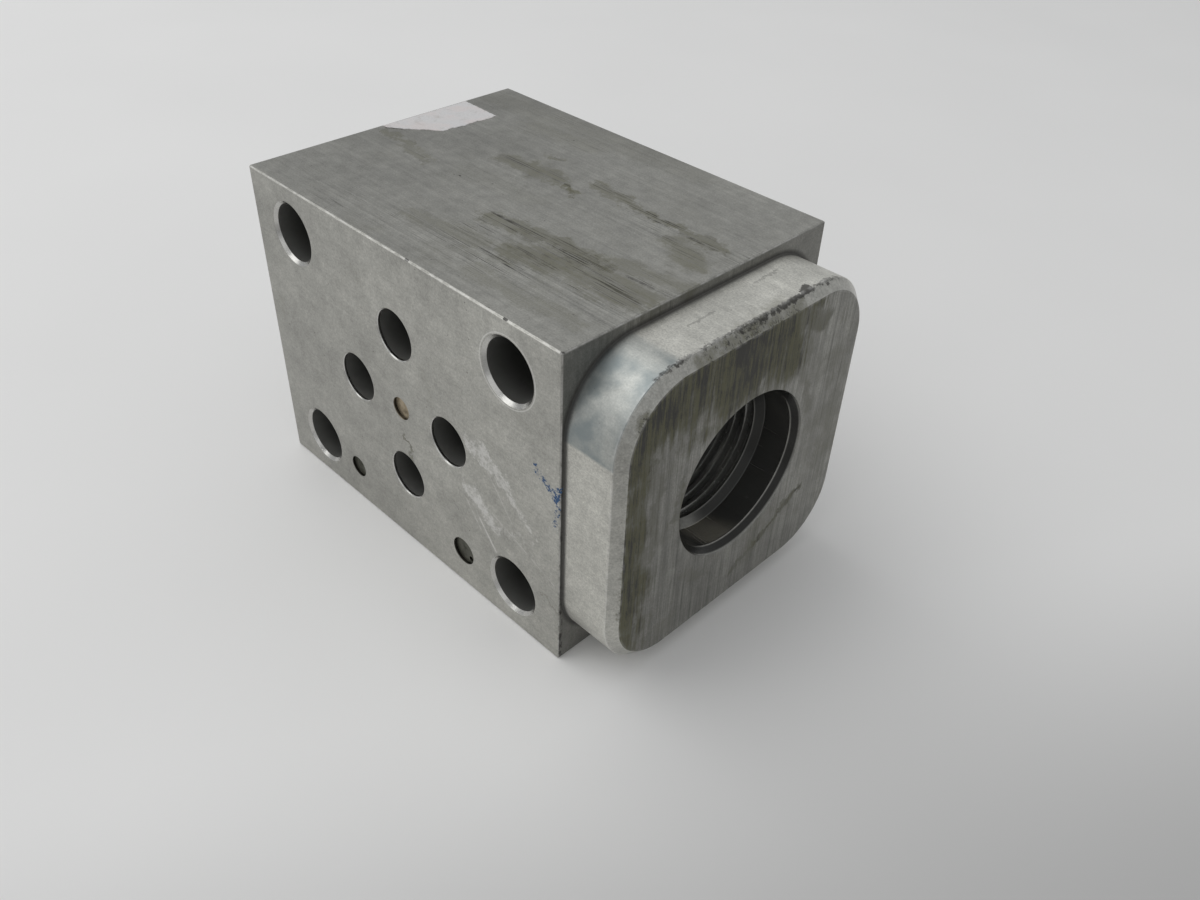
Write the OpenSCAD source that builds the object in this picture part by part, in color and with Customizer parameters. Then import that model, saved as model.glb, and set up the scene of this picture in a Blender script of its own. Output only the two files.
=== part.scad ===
// Four-port hydraulic spool valve in a one-piece aluminium body.
// X runs along the spool, the mounting face looks along -Y and Z is up.
// The origin is the centre of the block's bottom face. Sizes are in millimetres.

/* [Block] */
// Length of the block along the spool
block_l = 57; // [55:0.5:90]
// Depth of the block, from the mounting face to its back
block_w = 42.5; // [42:0.5:70]
// Height of the block
block_h = 44; // [41:0.5:70]
// Width of the 45 degree break on the block's edges
edge_break = 0.2; // [0.1:0.05:0.4]

/* [Boss] */
// How far the boss stands out of the block's end
boss_l = 8; // [6:0.5:12]
// Width of the boss across Y
boss_w = 41.5; // [36:0.5:41.5]
// Height of the boss
boss_h = 41; // [36:0.5:43]
// Radius of the boss's corners
boss_corner_r = 9.2; // [5:0.1:15]
// Chamfer around the boss's front face
boss_chamfer = 1.2; // [0.5:0.1:2]
// Fillet where the boss meets the block
boss_fillet = 0.8; // [0.1:0.1:1.5]

/* [Threaded port in the boss] */
// Nominal radius of the port's thread
port_thread_r = 10; // [9.5:0.1:10.5]
// Pitch of the port's thread
port_pitch = 1.5; // [1:0.25:1.5]
// Full turns of the port's thread
port_turns = 4; // [3:1:4]
// Depth of the plain socket in front of the thread
socket_depth = 4.8; // [3:0.1:6]
// Depth of the lead-in chamfer at the mouth
mouth_depth = 1.1; // [0.5:0.1:1.5]
// Width of the lead-in chamfer at the mouth
mouth_chamfer = 0.7; // [0.3:0.1:1.2]

/* [Mounting face] */
// Distance between the mounting holes along X
bolt_span_x = 40.5; // [38:0.5:44]
// Distance between the mounting holes along Z
bolt_span_z = 31.4; // [30:0.2:32]
// Radius of the mounting holes
bolt_hole_r = 3.75; // [2.75:0.05:3.9]
// Chamfer at the ends of the mounting holes
bolt_chamfer = 0.45; // [0.2:0.05:0.8]
// Distance between service ports A and B
port_span_x = 18.2; // [16:0.2:18.6]
// Distance between the tank and pressure ports
port_span_z = 21.1; // [20:0.1:21.6]
// Radius of the four ports
port_r = 3.25; // [2.5:0.05:3.4]
// Chamfer at the ports' mouths
port_chamfer = 0.15; // [0.1:0.05:0.3]

/* [Small plugs in the mounting face] */
// Radius of the brass plug in the middle
centre_plug_r = 1.55; // [1:0.05:2]
// Radius of the lower left pin
left_pin_r = 1.55; // [1:0.05:2]
// Radius of the lower right pin
right_pin_r = 1.95; // [1:0.05:2.2]
// How far left of the middle the left pin stands
left_pin_x = 11.9; // [8:0.1:12.5]
// How far right of the middle the right pin stands
right_pin_x = 10.9; // [8:0.1:12]
// Height of both pins above the bottom face
pin_z = 5.6; // [4:0.1:6]
// Length of the small plugs and pins
pin_l = 5; // [3:0.5:6]
// How far the plugs and pins lie below the face
pin_recess = 0.4; // [0.1:0.1:0.8]

/* [Spool and sleeve] */
// Radius of the body's bore for the sleeve
bore_r = 8; // [7.5:0.1:8.2]
// Radius of the spool
spool_r = 5; // [4.5:0.1:5.5]
// Distance from the middle to each tank groove
tank_x = 15; // [15:0.1:15.4]
// Radius of the holes through the sleeve
window_r = 1; // [0.8:0.1:1.1]
// Width of the spool's two control lands
land_w = 1.4; // [1.2:0.1:1.6]
// How far a control land stands clear of a hole at either end of its travel
land_lap = 0.2; // [0.1:0.05:0.3]
// Thickness of the O-rings on the sleeve
ring_cord = 1.1; // [0.9:0.1:1.2]

/* [Spring end] */
// Nominal radius of the end plug's thread
plug_thread_r = 7; // [6.5:0.1:7]
// Length of thread that holds the end plug
plug_thread_l = 6.5; // [6:0.1:8]
// Width across the flats of the end plug's head
plug_hex = 14; // [13:0.5:15]
// Height of the end plug's hexagon
plug_hex_l = 4.5; // [4:0.5:7]
// Thickness of the spring's wire
spring_wire = 0.9; // [0.7:0.1:1]
// Number of working coils of the spring
spring_coils = 6; // [4:1:7]

/* [Hidden] */
$fn = 96;

// Overshoot of a cut past the face that it opens
cut = 1;

// Fits, as gaps between radii
sleeve_gap = 0.02;
spool_gap = 0.03;
ring_gap = 0.01;
pin_gap = 0.01;
thread_gap = 0.04;
loose_gap = 0.3;
// Play between faces that only touch
face_gap = 0.05;

// Faces of the block and of the boss
left_x = -block_l / 2;
right_x = block_l / 2;
boss_x = right_x + boss_l;
face_y = -block_w / 2;
axis_z = block_h / 2;

// ISO metric threads lose 0.5413 of the pitch on the radius, with flats of an eighth and a quarter
function minor_r(major_r, pitch) = major_r - 0.5413 * pitch;
port_minor_r = minor_r(port_thread_r, port_pitch);
plug_pitch = 1.5;
plug_bore_r = minor_r(plug_thread_r, plug_pitch);

// The port's bore, from its mouth inwards
socket_r = port_thread_r + 0.15;
mouth_r = socket_r + mouth_chamfer;
thread_front_x = boss_x - socket_depth - (socket_r - port_minor_r);
thread_back_x = thread_front_x - port_turns * port_pitch;
shoulder_x = thread_back_x - 0.3;

// The retaining ring and the washer that close the sleeve's bore
ring_t = 1;
ring_land = 0.9;
ring_slot_w = ring_t + 0.1;
ring_slot_r = bore_r + 0.4;
ring_slot_x = shoulder_x - ring_land - ring_slot_w;
washer_t = 1;
washer_hole_r = spool_r - 1.4;

// The sleeve and its five stations: tank, A, pressure, B, tank
sleeve_right_x = ring_slot_x - washer_t;
sleeve_left_x = left_x + plug_thread_l;
ab_x = port_span_x / 2;
stations = [-tank_x, -ab_x, 0, ab_x, tank_x];
service_groove_r = bore_r + 1.5;
tank_groove_r = bore_r + 3.3;
groove_half_w = 1.8;
sleeve_groove_r = bore_r - 1.1;
sleeve_groove_half_w = 1.5;
seal_slot_half_w = 0.65;
seal_slot_r = bore_r - ring_cord;
pilot_seal_x = tank_x + 3.4;
seal_xs = [-(tank_x + ab_x) / 2, -ab_x / 2, ab_x / 2, (tank_x + ab_x) / 2, pilot_seal_x];

// Drillings run this far into the groove that they end in
groove_overlap = 0.8;
// The pressure drilling ends this side of the bore's middle, clear of the sleeve
pressure_end_y = -2;

// The spool's travel carries each control land from one side of a sleeve hole to the other
travel = land_w + 2 * (window_r + land_lap);
waist_r = spool_r - 1.8;
end_land_w = 1.75;
spool_right_x = sleeve_right_x - face_gap;
nose_r = washer_hole_r - 0.6;
nose_l = 3;
tip_r = 1.5;
tip_l = 1.5;

// The end plug, from its inner end outwards
plug_inner_x = sleeve_left_x - 0.1;
plug_flange_r = plug_thread_r + 1.6;
plug_flange_t = 1.5;
plug_r = plug_bore_r - thread_gap;
plug_cup_r = spool_r - 0.8;
plug_roof_t = 3;
plug_outer_x = left_x - plug_flange_t - plug_hex_l;
cup_end_x = plug_outer_x + plug_roof_t;
seal_cord = 1.56;
seal_seat_r = plug_r + ring_gap + seal_cord + ring_gap;
seal_seat_depth = seal_cord + 0.04;

// The spring, between a shim in the plug and a seat on the spool
shim_t = 0.5;
seat_t = 1;
seat_r = spool_r - loose_gap;
seat_x = plug_inner_x + travel + 0.1;
spigot_l = 1.5;
spring_wire_r = spring_wire / 2;
spring_r = plug_cup_r - spring_wire_r - 0.45;
spigot_r = spring_r - spring_wire_r - 0.25;
spring_start_x = cup_end_x + shim_t + spring_wire_r;
spring_end_x = seat_x - spring_wire_r;
dead_pitch = spring_wire + 0.02;
live_pitch = (spring_end_x - spring_start_x - 2 * dead_pitch) / spring_coils;

// The tank gallery runs along X above the sleeve and meets both tank grooves
gallery_r = 2;
gallery_y = -9.5;
gallery_dist = tank_groove_r + 1.3;
gallery_z = axis_z + sqrt(gallery_dist * gallery_dist - gallery_y * gallery_y);
gallery_plug_r = 2.5;
gallery_plug_l = 5;
gallery_socket_af = 2.5;
gallery_recess = 0.5;

// The small blind holes behind the face's plugs
pin_hole_depth = 8;

// ---- Helpers ----

// Turns a shape built along Z to lie along X, at the height of the spool
module along_x() {
    translate([0, 0, axis_z])
        rotate([0, 90, 0])
            children();
}

// A solid of revolution about the spool's axis, from a list of [x, radius] points
module turned(points) {
    along_x()
        rotate_extrude()
            polygon(concat(
                [[0, points[0].x]],
                [for (p = points) [p.y, p.x]],
                [[0, points[len(points) - 1].x]]
            ));
}

// A disc about the spool's axis between two places along X
module disc(x1, x2, r) {
    turned([[x1, r], [x2, r]]);
}

// A round ring of the given cord about the spool's axis
module cord_ring(x, r_in, cord) {
    along_x()
        translate([0, 0, x])
            rotate_extrude()
                translate([r_in + cord / 2, 0])
                    circle(d = cord, $fn = 24);
}

// A round cut into the mounting face, from the face to the place y
module face_drilling(x, z, r, y) {
    translate([x, face_y - cut, z])
        rotate([-90, 0, 0])
            cylinder(r = r, h = y - face_y + cut);
}

// A 45 degree countersink at the mounting face
module face_countersink(x, z, r, c) {
    translate([x, face_y - cut, z])
        rotate([-90, 0, 0])
            cylinder(r1 = r + c + cut, r2 = r, h = c + cut);
}

// A pin along Y whose outer end lies a little below the mounting face
module face_pin(x, z, r) {
    translate([x, face_y + pin_recess, z])
        rotate([-90, 0, 0])
            cylinder(r = r, h = pin_l);
}

// Steps of a bore's outline where it widens into grooves
function grooves(xs, half_w, r, wide_r) =
    [for (x = xs) each [[x - half_w, r], [x - half_w, wide_r], [x + half_w, wide_r], [x + half_w, r]]];

// The outline of an inside thread, drawn as rings
function thread_rings(x, turns, pitch, minor, major) =
    [for (i = [0:turns - 1]) each [
        [x + (i + 1 / 8) * pitch, minor],
        [x + (i + 7 / 16) * pitch, major],
        [x + (i + 9 / 16) * pitch, major],
        [x + (i + 7 / 8) * pitch, minor],
    ]];

// ---- Body ----

// The block with its edges broken
module block() {
    side = edge_break * sqrt(2);
    difference() {
        translate([left_x, face_y, 0])
            cube([block_l, block_w, block_h]);
        for (y = [-1, 1], z = [0, 1])
            translate([0, y * block_w / 2, z * block_h])
                rotate([45, 0, 0])
                    cube([block_l + 2 * cut, side, side], center = true);
        for (x = [-1, 1], z = [0, 1])
            translate([x * block_l / 2, 0, z * block_h])
                rotate([0, 45, 0])
                    cube([side, block_w + 2 * cut, side], center = true);
        for (x = [-1, 1], y = [-1, 1])
            translate([x * block_l / 2, y * block_w / 2, axis_z])
                rotate([0, 0, 45])
                    cube([side, side, block_h + 2 * cut], center = true);
    }
}

// The boss's outline from its root to its front, as [radius, height] outside the corner centres
boss_root = min(boss_fillet, (block_w - boss_w) / 2 - edge_break, (block_h - boss_h) / 2 - edge_break);
boss_outline = concat(
    [for (a = [0:15:90]) [boss_corner_r + boss_root * (1 - sin(a)), boss_root * (1 - cos(a))]],
    [
        [boss_corner_r, boss_l - boss_chamfer],
        [boss_corner_r - boss_chamfer, boss_l],
    ]
);

// A straight side pair of the boss: the outline mirrored about the middle
module boss_span(half_span, length) {
    n = len(boss_outline);
    rotate([90, 0, 0])
        linear_extrude(length, center = true)
            polygon(concat(
                [for (p = boss_outline) [half_span + p.x, p.y]],
                [for (i = [n - 1:-1:0]) [-half_span - boss_outline[i].x, boss_outline[i].y]]
            ));
}

// The rounded square boss on the block's end
module boss() {
    half_w = boss_w / 2 - boss_corner_r;
    half_h = boss_h / 2 - boss_corner_r;
    translate([right_x, 0, axis_z])
        rotate([0, 90, 0]) {
            for (y = [-1, 1], z = [-1, 1])
                translate([z * half_h, y * half_w, 0])
                    rotate_extrude()
                        polygon(concat([[0, 0]], boss_outline, [[0, boss_l]]));
            boss_span(half_h, 2 * half_w);
            rotate([0, 0, 90])
                boss_span(half_w, 2 * half_h);
        }
}

// Everything that is bored along the spool's axis
module main_bore() {
    turned(concat(
        [
            [left_x - cut, seal_seat_r],
            [left_x + seal_seat_depth, seal_seat_r],
            [left_x + seal_seat_depth, plug_bore_r],
            [sleeve_left_x, plug_bore_r],
            [sleeve_left_x, bore_r],
        ],
        grooves([-tank_x], groove_half_w, bore_r, tank_groove_r),
        grooves([-ab_x, 0, ab_x], groove_half_w, bore_r, service_groove_r),
        grooves([tank_x], groove_half_w, bore_r, tank_groove_r),
        [
            [ring_slot_x, bore_r],
            [ring_slot_x, ring_slot_r],
            [ring_slot_x + ring_slot_w, ring_slot_r],
            [ring_slot_x + ring_slot_w, bore_r],
            [shoulder_x, bore_r],
            [shoulder_x, port_minor_r],
        ],
        thread_rings(thread_back_x, port_turns, port_pitch, port_minor_r, port_thread_r),
        [
            [thread_front_x, port_minor_r],
            [boss_x - socket_depth, socket_r],
            [boss_x - mouth_depth, socket_r],
            [boss_x, mouth_r],
            [boss_x + cut, mouth_r],
        ]
    ));
}

// The four mounting holes, right through along Y
module mounting_holes() {
    for (x = [-1, 1], z = [-1, 1])
        translate([x * bolt_span_x / 2, 0, axis_z + z * bolt_span_z / 2])
            rotate([90, 0, 0]) {
                cylinder(r = bolt_hole_r, h = block_w + 2 * cut, center = true);
                for (side = [0, 180])
                    rotate([side, 0, 0])
                        translate([0, 0, block_w / 2 - bolt_chamfer])
                            cylinder(
                                r1 = bolt_hole_r,
                                r2 = bolt_hole_r + bolt_chamfer + cut,
                                h = bolt_chamfer + cut
                            );
            }
}

// The four ports; A and B end in their grooves, pressure opens its groove from below, tank meets the gallery
module ports() {
    service_end_y = groove_overlap - service_groove_r;
    for (x = [-ab_x, ab_x])
        face_drilling(x, axis_z, port_r, service_end_y);
    face_drilling(0, axis_z - port_span_z / 2, port_r, pressure_end_y);
    face_drilling(0, axis_z + port_span_z / 2, port_r, gallery_y + cut);
    for (p = [[-ab_x, 0], [ab_x, 0], [0, -port_span_z / 2], [0, port_span_z / 2]])
        face_countersink(p.x, axis_z + p.y, port_r, port_chamfer);
}

// The gallery that joins both tank grooves, with the seat of its plug
module tank_gallery() {
    translate([left_x - cut, gallery_y, gallery_z])
        rotate([0, 90, 0]) {
            cylinder(r = gallery_r, h = tank_x + groove_half_w - left_x + cut);
            cylinder(r = gallery_plug_r, h = gallery_plug_l + gallery_recess + cut);
        }
}

// The small holes for the plug and pins of the mounting face
module pin_holes() {
    face_drilling(0, axis_z, centre_plug_r + pin_gap, groove_overlap - service_groove_r);
    face_drilling(-left_pin_x, pin_z, left_pin_r + pin_gap, face_y + pin_hole_depth);
    face_drilling(right_pin_x, pin_z, right_pin_r + pin_gap, face_y + pin_hole_depth);
}

module valve_body() {
    color("silver")
        difference() {
            union() {
                block();
                boss();
            }
            main_bore();
            mounting_holes();
            ports();
            tank_gallery();
            pin_holes();
        }
}

// ---- Sleeve and its seals ----

module spool_sleeve() {
    sleeve_r = bore_r - sleeve_gap;
    sleeve_lead = 0.4;
    color("slategray")
        difference() {
            turned(concat(
                [[sleeve_left_x, sleeve_r - sleeve_lead], [sleeve_left_x + sleeve_lead, sleeve_r]],
                [for (i = [0:len(stations) - 1]) each concat(
                    grooves([stations[i]], sleeve_groove_half_w, sleeve_r, sleeve_groove_r),
                    grooves([seal_xs[i]], seal_slot_half_w, sleeve_r, seal_slot_r)
                )],
                [[sleeve_right_x, sleeve_r]]
            ));
            disc(sleeve_left_x - cut, sleeve_right_x + cut, spool_r);
            for (x = stations, turn = [0, 90])
                translate([x, 0, axis_z])
                    rotate([turn, 0, 0])
                        cylinder(r = window_r, h = 3 * bore_r, center = true);
        }
}

// One O-ring on the sleeve, a little slack in its groove
module sleeve_o_ring(index) {
    color("dimgray")
        cord_ring(seal_xs[index], seal_slot_r + ring_gap, ring_cord - 2 * ring_gap);
}

module o_ring_tank_a() {
    sleeve_o_ring(0);
}

module o_ring_a_pressure() {
    sleeve_o_ring(1);
}

module o_ring_pressure_b() {
    sleeve_o_ring(2);
}

module o_ring_b_tank() {
    sleeve_o_ring(3);
}

module o_ring_pilot() {
    sleeve_o_ring(4);
}

// ---- Spool and its stops ----

// The spool at rest, pushed right by the spring until its end land meets the washer
module spool() {
    land_r = spool_r - spool_gap;
    land_off = window_r + land_lap;
    left_land_x = -ab_x + land_off;
    right_land_x = ab_x + land_off;
    end_land_x = spool_right_x - end_land_w;
    oil_groove_x = end_land_x + end_land_w / 2;
    oil_groove_half_w = 0.2;
    oil_groove_r = land_r - 0.3;
    stem_x = seat_x + seat_t;
    stem_lead = 0.3;
    nose_lead = 0.5;
    color("lightsteelblue")
        turned([
            [stem_x - tip_l + stem_lead, tip_r],
            [stem_x, tip_r],
            [stem_x, waist_r - stem_lead],
            [stem_x + stem_lead, waist_r],
            [left_land_x, waist_r],
            [left_land_x, land_r],
            [left_land_x + land_w, land_r],
            [left_land_x + land_w, waist_r],
            [right_land_x, waist_r],
            [right_land_x, land_r],
            [right_land_x + land_w, land_r],
            [right_land_x + land_w, waist_r],
            [end_land_x, waist_r],
            [end_land_x, land_r],
            [oil_groove_x - oil_groove_half_w, land_r],
            [oil_groove_x - oil_groove_half_w, oil_groove_r],
            [oil_groove_x + oil_groove_half_w, oil_groove_r],
            [oil_groove_x + oil_groove_half_w, land_r],
            [spool_right_x, land_r],
            [spool_right_x, nose_r],
            [spool_right_x + nose_l - nose_lead, nose_r],
            [spool_right_x + nose_l, nose_r - nose_lead],
        ]);
}

// The washer that the spool stops against
module stop_washer() {
    color("gainsboro")
        difference() {
            disc(sleeve_right_x, sleeve_right_x + washer_t - face_gap, bore_r - 0.1);
            disc(sleeve_right_x - cut, ring_slot_x + cut, washer_hole_r);
        }
}

// The flat outline of an inside retaining ring, open at the bottom between two eyes
module retaining_ring_outline() {
    outer_r = ring_slot_r - 0.05;
    inner_r = bore_r - 1;
    eye_r = 1.3;
    eye_hole_r = 0.6;
    eye_place_r = bore_r - 0.25 - eye_r;
    gap_angle = 22;
    difference() {
        union() {
            difference() {
                circle(r = outer_r);
                circle(r = inner_r);
                polygon([
                    [0, 0],
                    [2 * outer_r, -2 * outer_r * tan(gap_angle)],
                    [2 * outer_r, 2 * outer_r * tan(gap_angle)],
                ]);
            }
            for (side = [-1, 1])
                rotate(side * gap_angle)
                    translate([eye_place_r, 0])
                        circle(r = eye_r);
        }
        for (side = [-1, 1])
            rotate(side * gap_angle)
                translate([eye_place_r, 0])
                    circle(r = eye_hole_r, $fn = 24);
    }
}

module retaining_ring() {
    color("gray")
        along_x()
            translate([0, 0, ring_slot_x + face_gap])
                linear_extrude(ring_t)
                    retaining_ring_outline();
}

// ---- Spring end ----

// The cup washer between the spool's stem and the spring
module spring_seat() {
    color("goldenrod")
        difference() {
            turned([
                [seat_x - spigot_l, spigot_r - 0.3],
                [seat_x - spigot_l + 0.3, spigot_r],
                [seat_x, spigot_r],
                [seat_x, seat_r],
                [seat_x + seat_t, seat_r],
            ]);
            disc(seat_x + seat_t - tip_l, seat_x + seat_t + cut, tip_r + spool_gap);
        }
}

// How far the wire has climbed after some turns, with one closed turn at each end
function coil_climb(turns) =
    min(turns, 1) * dead_pitch
    + max(0, min(turns - 1, spring_coils)) * live_pitch
    + max(0, turns - 1 - spring_coils) * dead_pitch;

// A coil spring: a round wire swept along a helix, ring by ring
module return_spring() {
    rings_per_turn = 16;
    sides = 8;
    last = (spring_coils + 2) * rings_per_turn;
    points = [
        for (i = [0:last], j = [0:sides - 1])
            let (
                turn = 360 * i / rings_per_turn,
                around = 360 * j / sides,
                r = spring_r + spring_wire_r * cos(around)
            )
            [r * cos(turn), r * sin(turn), coil_climb(i / rings_per_turn) + spring_wire_r * sin(around)]
    ];
    walls = [
        for (i = [0:last - 1], j = [0:sides - 1])
            let (next = (j + 1) % sides)
            [i * sides + j, i * sides + next, (i + 1) * sides + next, (i + 1) * sides + j]
    ];
    start_face = [for (j = [sides - 1:-1:0]) j];
    end_face = [for (j = [0:sides - 1]) last * sides + j];
    color("darkgray")
        along_x()
            translate([0, 0, spring_start_x])
                polyhedron(points, concat([start_face], walls, [end_face]));
}

// The shim under the spring, which sets its preload
module spring_shim() {
    color("gainsboro")
        disc(cup_end_x, cup_end_x + shim_t - ring_gap, plug_cup_r - 0.1);
}

// The hollow screw plug that closes the spring end
module end_plug() {
    hex_x = left_x - plug_flange_t;
    corner_r = plug_hex / sqrt(3);
    color("darkgray")
        difference() {
            union() {
                turned([
                    [hex_x, plug_flange_r - 0.3],
                    [hex_x + 0.3, plug_flange_r],
                    [left_x, plug_flange_r],
                    [left_x, plug_r],
                    [plug_inner_x - 0.5, plug_r],
                    [plug_inner_x, plug_r - 0.5],
                ]);
                intersection() {
                    along_x()
                        translate([0, 0, plug_outer_x])
                            cylinder(r = corner_r, h = plug_hex_l + 0.5, $fn = 6);
                    turned([
                        [plug_outer_x, plug_hex / 2 - 0.2],
                        [plug_outer_x + 0.8, corner_r + 0.2],
                        [left_x, corner_r + 0.2],
                    ]);
                }
            }
            disc(cup_end_x, plug_inner_x + cut, plug_cup_r);
        }
}

// The seal in the body's counterbore, under the end plug's flange
module end_plug_o_ring() {
    color("dimgray")
        cord_ring(left_x + seal_seat_depth / 2, plug_r + ring_gap, seal_cord);
}

// ---- Plugs and pins ----

// A headless screw plug with a hexagon socket, in the mouth of the tank gallery
module gallery_plug() {
    socket_depth_x = gallery_plug_l * 0.6;
    color("dimgray")
        translate([left_x + gallery_recess, gallery_y, gallery_z])
            rotate([0, 90, 0])
                difference() {
                    cylinder(r = gallery_plug_r - pin_gap, h = gallery_plug_l - face_gap);
                    translate([0, 0, -cut])
                        cylinder(r = gallery_socket_af / sqrt(3), h = socket_depth_x + cut, $fn = 6);
                }
}

module centre_plug() {
    color("peru")
        face_pin(0, axis_z, centre_plug_r);
}

module left_pin() {
    color("darkolivegreen")
        face_pin(-left_pin_x, pin_z, left_pin_r);
}

// The right pin carries a small punch mark, low on its right
module right_pin() {
    mark_r = 0.35;
    mark_depth = 0.5;
    mark_off = right_pin_r * 0.5;
    color("gray")
        difference() {
            face_pin(right_pin_x, pin_z, right_pin_r);
            translate([right_pin_x + mark_off, face_y + pin_recess - cut, pin_z - mark_off])
                rotate([-90, 0, 0])
                    cylinder(r = mark_r, h = cut + mark_depth, $fn = 24);
        }
}

// ---- Label ----

// What is left of a paper label on the top face, with torn edges
module label_remnant() {
    label_t = 0.12;
    color("white")
        translate([left_x, 0, block_h])
            linear_extrude(label_t)
                polygon([
                    [edge_break + 0.1, -1.2],
                    [edge_break + 0.1, 13.1],
                    [8, 12.8],
                    [7.8, 8.1],
                    [7.7, 3.8],
                    [5.4, 1.6],
                    [3.4, 0.2],
                    [1.5, -1.4],
                ]);
}

valve_body();
spool_sleeve();
o_ring_tank_a();
o_ring_a_pressure();
o_ring_pressure_b();
o_ring_b_tank();
o_ring_pilot();
spool();
stop_washer();
retaining_ring();
spring_seat();
return_spring();
spring_shim();
end_plug();
end_plug_o_ring();
gallery_plug();
centre_plug();
left_pin();
right_pin();
label_remnant();
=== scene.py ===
"""A ported hydraulic valve block on a pale bench: its finishes, a wound spring, a torn label and the stage.

Lengths in the finishes are in millimetres, because that is how a machined part is thought of. Everything that
reaches the scene is in metres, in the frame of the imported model: X along the spool towards the boss, the
mounting face looking along -Y, and Z up from the bench.
"""

import math
from types import SimpleNamespace

import bmesh
import bpy
import numpy as np
from mathutils import Matrix, Vector


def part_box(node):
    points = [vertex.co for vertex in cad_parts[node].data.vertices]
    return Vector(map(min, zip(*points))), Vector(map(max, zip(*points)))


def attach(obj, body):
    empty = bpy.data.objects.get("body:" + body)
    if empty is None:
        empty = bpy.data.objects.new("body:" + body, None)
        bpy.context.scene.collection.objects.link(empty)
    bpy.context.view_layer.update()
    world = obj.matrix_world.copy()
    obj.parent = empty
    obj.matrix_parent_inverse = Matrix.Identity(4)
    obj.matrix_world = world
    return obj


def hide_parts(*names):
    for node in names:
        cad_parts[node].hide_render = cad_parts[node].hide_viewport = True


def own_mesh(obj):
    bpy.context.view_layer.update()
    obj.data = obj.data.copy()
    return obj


bl_info = {
    "name": "Ported valve block finishes",
    "version": (1, 0, 0),
    "blender": (4, 5, 0),
    "location": "3D View > Sidebar > Valve",
    "description": "Dresses the packed valve block and sets its stage",
    "category": "Material",
}

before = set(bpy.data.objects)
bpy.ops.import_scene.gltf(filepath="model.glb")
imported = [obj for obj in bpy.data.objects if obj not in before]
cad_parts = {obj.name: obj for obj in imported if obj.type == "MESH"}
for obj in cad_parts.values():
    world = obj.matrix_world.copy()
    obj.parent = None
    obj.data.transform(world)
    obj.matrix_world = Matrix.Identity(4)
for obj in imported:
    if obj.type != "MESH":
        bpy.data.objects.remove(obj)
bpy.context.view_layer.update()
MM = 0.001

# The boss stands on the block's +X end. The block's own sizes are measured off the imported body
BOSS_LENGTH = 8.0
BOSS_HALF_WIDTH = 20.75
BOSS_HALF_HEIGHT = 20.5
BOSS_CORNER = 9.2
BOSS_CHAMFER = 1.2

# From its mouth inwards, the boss's bore has a chamfered lip, a smooth socket, a cone and a thread
MOUTH_RADIUS = 10.85
CREST_RADIUS = 9.2
LIP_DEPTH = 1.1
SOCKET_DEPTH = 4.8
THREAD_DEPTH = 5.95


def box_mm(node):
    """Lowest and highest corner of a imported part, in millimetres."""
    low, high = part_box(node)
    return np.array(low) / MM, np.array(high) / MM


def middle_mm(node):
    """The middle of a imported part, in millimetres."""
    low, high = box_mm(node)
    return tuple((low + high) / 2)


BODY_LOW, BODY_HIGH = box_mm("valve_body")
BLOCK_LOW = (-(BODY_HIGH[0] - BOSS_LENGTH), BODY_LOW[1], BODY_LOW[2])
BLOCK_HIGH = (BODY_HIGH[0] - BOSS_LENGTH, BODY_HIGH[1], BODY_HIGH[2])
AXIS_Z = (BLOCK_LOW[2] + BLOCK_HIGH[2]) / 2
BOSS_X = BODY_HIGH[0]
FACE_Y = BLOCK_LOW[1]
TOP_Z = BLOCK_HIGH[2]
END_X = BLOCK_HIGH[0]
CHAMFER_X = BOSS_X - BOSS_CHAMFER
SOCKET_X = BOSS_X - SOCKET_DEPTH
THREAD_X = BOSS_X - THREAD_DEPTH
SPOOL_CENTRE = (0, 0, AXIS_Z)
BOLT_CENTRE = (20.25, AXIS_Z + 15.7)
ALONG_X = (1, 0, 0)
ALONG_Y = (0, 1, 0)

# How fast the tool lines change along each axis: level on the block, upright on the two end faces
LEVEL_RUN = (0.1, 5.2, 5.2)
UPRIGHT_RUN = (4.4, 4.4, 0.13)

# Colours that go with a setting's colour, and how much of a metal's red, green and blue shows through oil
COOL_METAL = (0.27, 0.305, 0.31)
PIT_COLOUR = (0.02, 0.018, 0.015)
GLUE_HAZE = (0.64, 0.635, 0.635)
BROWN_DIRT = (0.32, 0.25, 0.19)
THROUGH_OIL = (0.28, 0.266, 0.21)


# ---- Settings ----


def colour(name, description, value):
    """A colour a user may change."""
    return bpy.props.FloatVectorProperty(
        name=name, description=description, subtype="COLOR", size=3, min=0, max=1, default=value
    )


def share(name, description, value):
    """A share from 0 to 1 a user may change."""
    return bpy.props.FloatProperty(
        name=name, description=description, subtype="FACTOR", min=0, max=1, default=value
    )


def length(name, description, value):
    """A length in metres a user may change."""
    return bpy.props.FloatProperty(
        name=name, description=description, unit="LENGTH", subtype="DISTANCE", min=0, default=value
    )


class ValveBodySettings(bpy.types.PropertyGroup):
    """The milled aluminium body."""

    aluminium: colour("Aluminium", "Clean milled aluminium", (0.36, 0.356, 0.33))
    oil: colour("Oil stain", "Old oil soaked into the milling lines", (0.105, 0.101, 0.048))
    # Dirt colour, also used for painted shade in the corner round the boss and round the small plugs
    soot_and_shade: colour("Packed dirt", "Dirt packed into corners and nicks", (0.022, 0.02, 0.017))
    # Bare metal of the scuffs and marks, and also the painted highlight on the edges
    bare_metal_and_highlight: colour("Bare edge", "Metal worn bright along the edges", (0.8, 0.79, 0.77))
    ink: colour("Ink", "Layout ink left near the corner", (0.035, 0.09, 0.2))
    roughness: share("Roughness", "Roughness of the milled faces", 0.46)
    staining: share("Staining", "How far the oil stains cover the metal", 0.92)
    # Sets the worn edges and their painted highlight together
    wear_and_highlight: share("Edge wear", "How bright the worn edges are", 0.8)


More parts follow.
